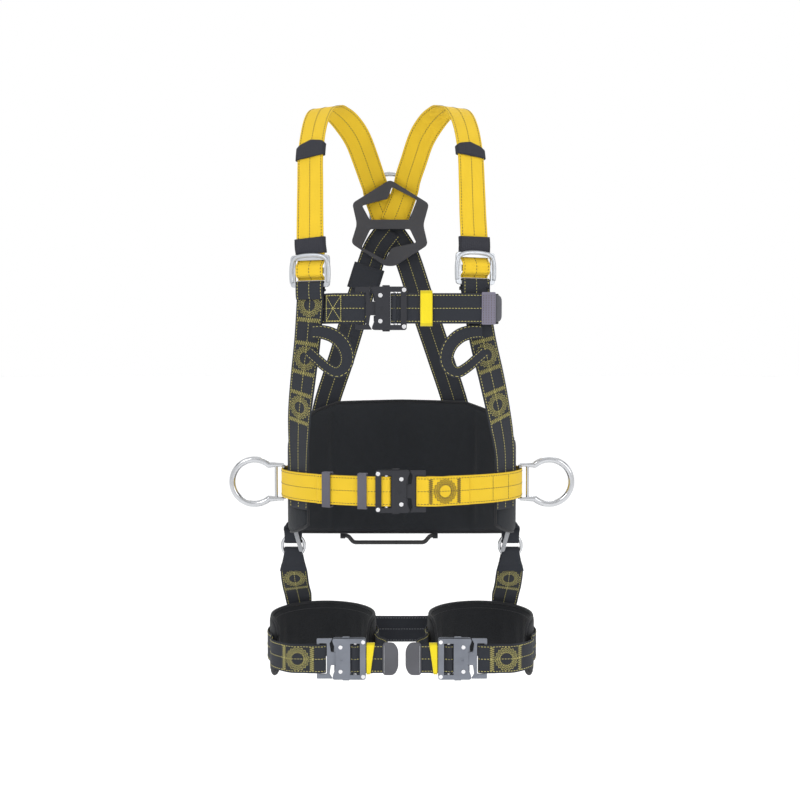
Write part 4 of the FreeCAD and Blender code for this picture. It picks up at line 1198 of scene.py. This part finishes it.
def adjuster_arch(side):
    """The thick rounded top bar and side arms of a shoulder adjuster."""
    (x, y, z), deg = ADJUSTERS[side]
    c, s = math.cos(math.radians(deg)), math.sin(math.radians(deg))
    half = [(30.0, -19.0), (30.5, -8.0), (30.0, 6.0), (27.0, 15.0), (20.0, 19.5), (10.0, 21.2)]
    outline = smooth([(-u, w) for u, w in half] + [(0.0, 21.6)] + half[::-1], 4)
    path = [(x + u * c + 1.2 * s, y + u * s - 1.2 * c, z + w) for u, w in outline]
    return tube_mesh("adjuster_arch_" + side, path, 3.3, SATIN, 14, body_up=(-s, c, 0.0))


def build_hardware():
    for side in ("left", "right"):
        attach(adjuster_arch(side), hardware("adjuster_" + side, SATIN, "bright_steel", 1.5))
        hardware("side_d_ring_" + side, CHROME, "bright_steel")
        hardware("hip_ring_" + side, CHROME, "bright_steel")
    hardware("dorsal_d_ring", CHROME, "bright_steel")
    hardware("dorsal_plate", PLASTIC, "black_plastic", 1.3)
    hardware("gear_loop", GEAR, "grey_rubber")
    hardware("gear_loop_tabs", PIPING, "black_webbing", 0.4)
    for where in ("outer", "inner"):
        hardware("belt_keeper_" + where, RUBBER, "grey_rubber", 0.5)
    for name in BUCKLES:
        metal, slot = (GREY_STEEL, "grey_steel") if "leg" in name else (BLACK_STEEL, "black_coated_steel")
        hardware(name + "_buckle_plates", metal, slot, 0.45)
        hardware(name + "_tongue", metal, slot, 0.5)
        for end in ("upper", "lower"):
            hardware(name + "_lever_" + end, metal if "leg" in name else BLACK_STEEL, "plain_steel", 0.4)
    for group in ("torso", "leg"):
        for kind in ("bars", "rivets", "springs"):
            hardware(group + "_buckle_" + kind, PIN_STEEL, "plain_steel", 0.5 if kind == "rivets" else 0.0)


# --- camera, light and floor --------------------------------------------------------------
def light(name, place, size, power):
    """A round lamp that looks at the middle of the harness."""
    data = bpy.data.lights.new(name, "AREA")
    data.shape, data.size, data.energy = "DISK", size, power
    lamp = bpy.data.objects.new(name, data)
    lamp.location = place
    aim = mathutils.Vector((0.0, 0.0, -0.45)) - mathutils.Vector(place)
    lamp.rotation_euler = aim.to_track_quat("-Z", "Y").to_euler()
    bpy.context.scene.collection.objects.link(lamp)


def build_studio():
    camera = bpy.data.objects.new("camera", bpy.data.cameras.new("camera"))
    camera.data.lens, camera.data.sensor_width = 44.4, 36.0
    camera.location = (-0.003, -1.6, -0.395)
    camera.rotation_euler = (math.radians(90.0 - 2.61), 0.0, 0.0)
    bpy.context.scene.collection.objects.link(camera)
    bpy.context.scene.camera = camera
    bpy.ops.mesh.primitive_circle_add(vertices=64, radius=40.0, fill_type="NGON", location=(0.0, 0.0, -1.25))
    floor = bpy.context.active_object
    floor.name = "floor"
    paint = Nodes("floor_look").set(Base_Color=(0.99, 0.99, 0.99, 1.0), Roughness=0.95)
    paint.set(Emission_Color=(1.0, 1.0, 1.0, 1.0), Emission_Strength=0.16)
    floor.data.materials.append(paint.material)
    light("key", (-1.6, -2.2, 1.3), 1.4, 26.0)
    light("fill", (1.9, -1.9, 0.4), 1.6, 14.0)
    light("back", (0.6, 2.0, 1.2), 1.4, 14.0)
    world = bpy.data.worlds.new("studio")
    bpy.context.scene.world = world
    world.use_nodes = True
    tree = world.node_tree
    split = tree.nodes.new("ShaderNodeSeparateXYZ")
    tree.links.new(tree.nodes.new("ShaderNodeTexCoord").outputs["Generated"], split.inputs[0])
    ramp = tree.nodes.new("ShaderNodeValToRGB")
    tree.links.new(split.outputs[2], ramp.inputs[0])
    tree.links.new(ramp.outputs[0], tree.nodes["Background"].inputs["Color"])
    ramp.color_ramp.elements[0].position, ramp.color_ramp.elements[0].color = 0.46, (1.0, 1.0, 1.0, 1.0)
    ramp.color_ramp.elements[1].position, ramp.color_ramp.elements[1].color = 0.52, (0.2, 0.21, 0.23, 1.0)
    for place, value in ((0.60, 0.2), (0.66, 1.0)):
        ramp.color_ramp.elements.new(place).color = (value, value, value, 1.0)
    bpy.context.scene.view_settings.view_transform = "Standard"


build_studio()
build_torso()
chest_left()
chest_right()
chest_loop("left")
chest_loop("right")
end_tab()
keeper = loop_band("chest_keeper_look", 27, 45, -139.4, -128.6, CHEST_Z - 26.5, CHEST_Z + 26.5, 1.6,
                   BRIGHT_ELASTIC)
piece(keeper, "chest_keeper", "yellow_elastic", "chest_keeper")
belt()
lumbar_pad()
build_legs()
build_hardware()
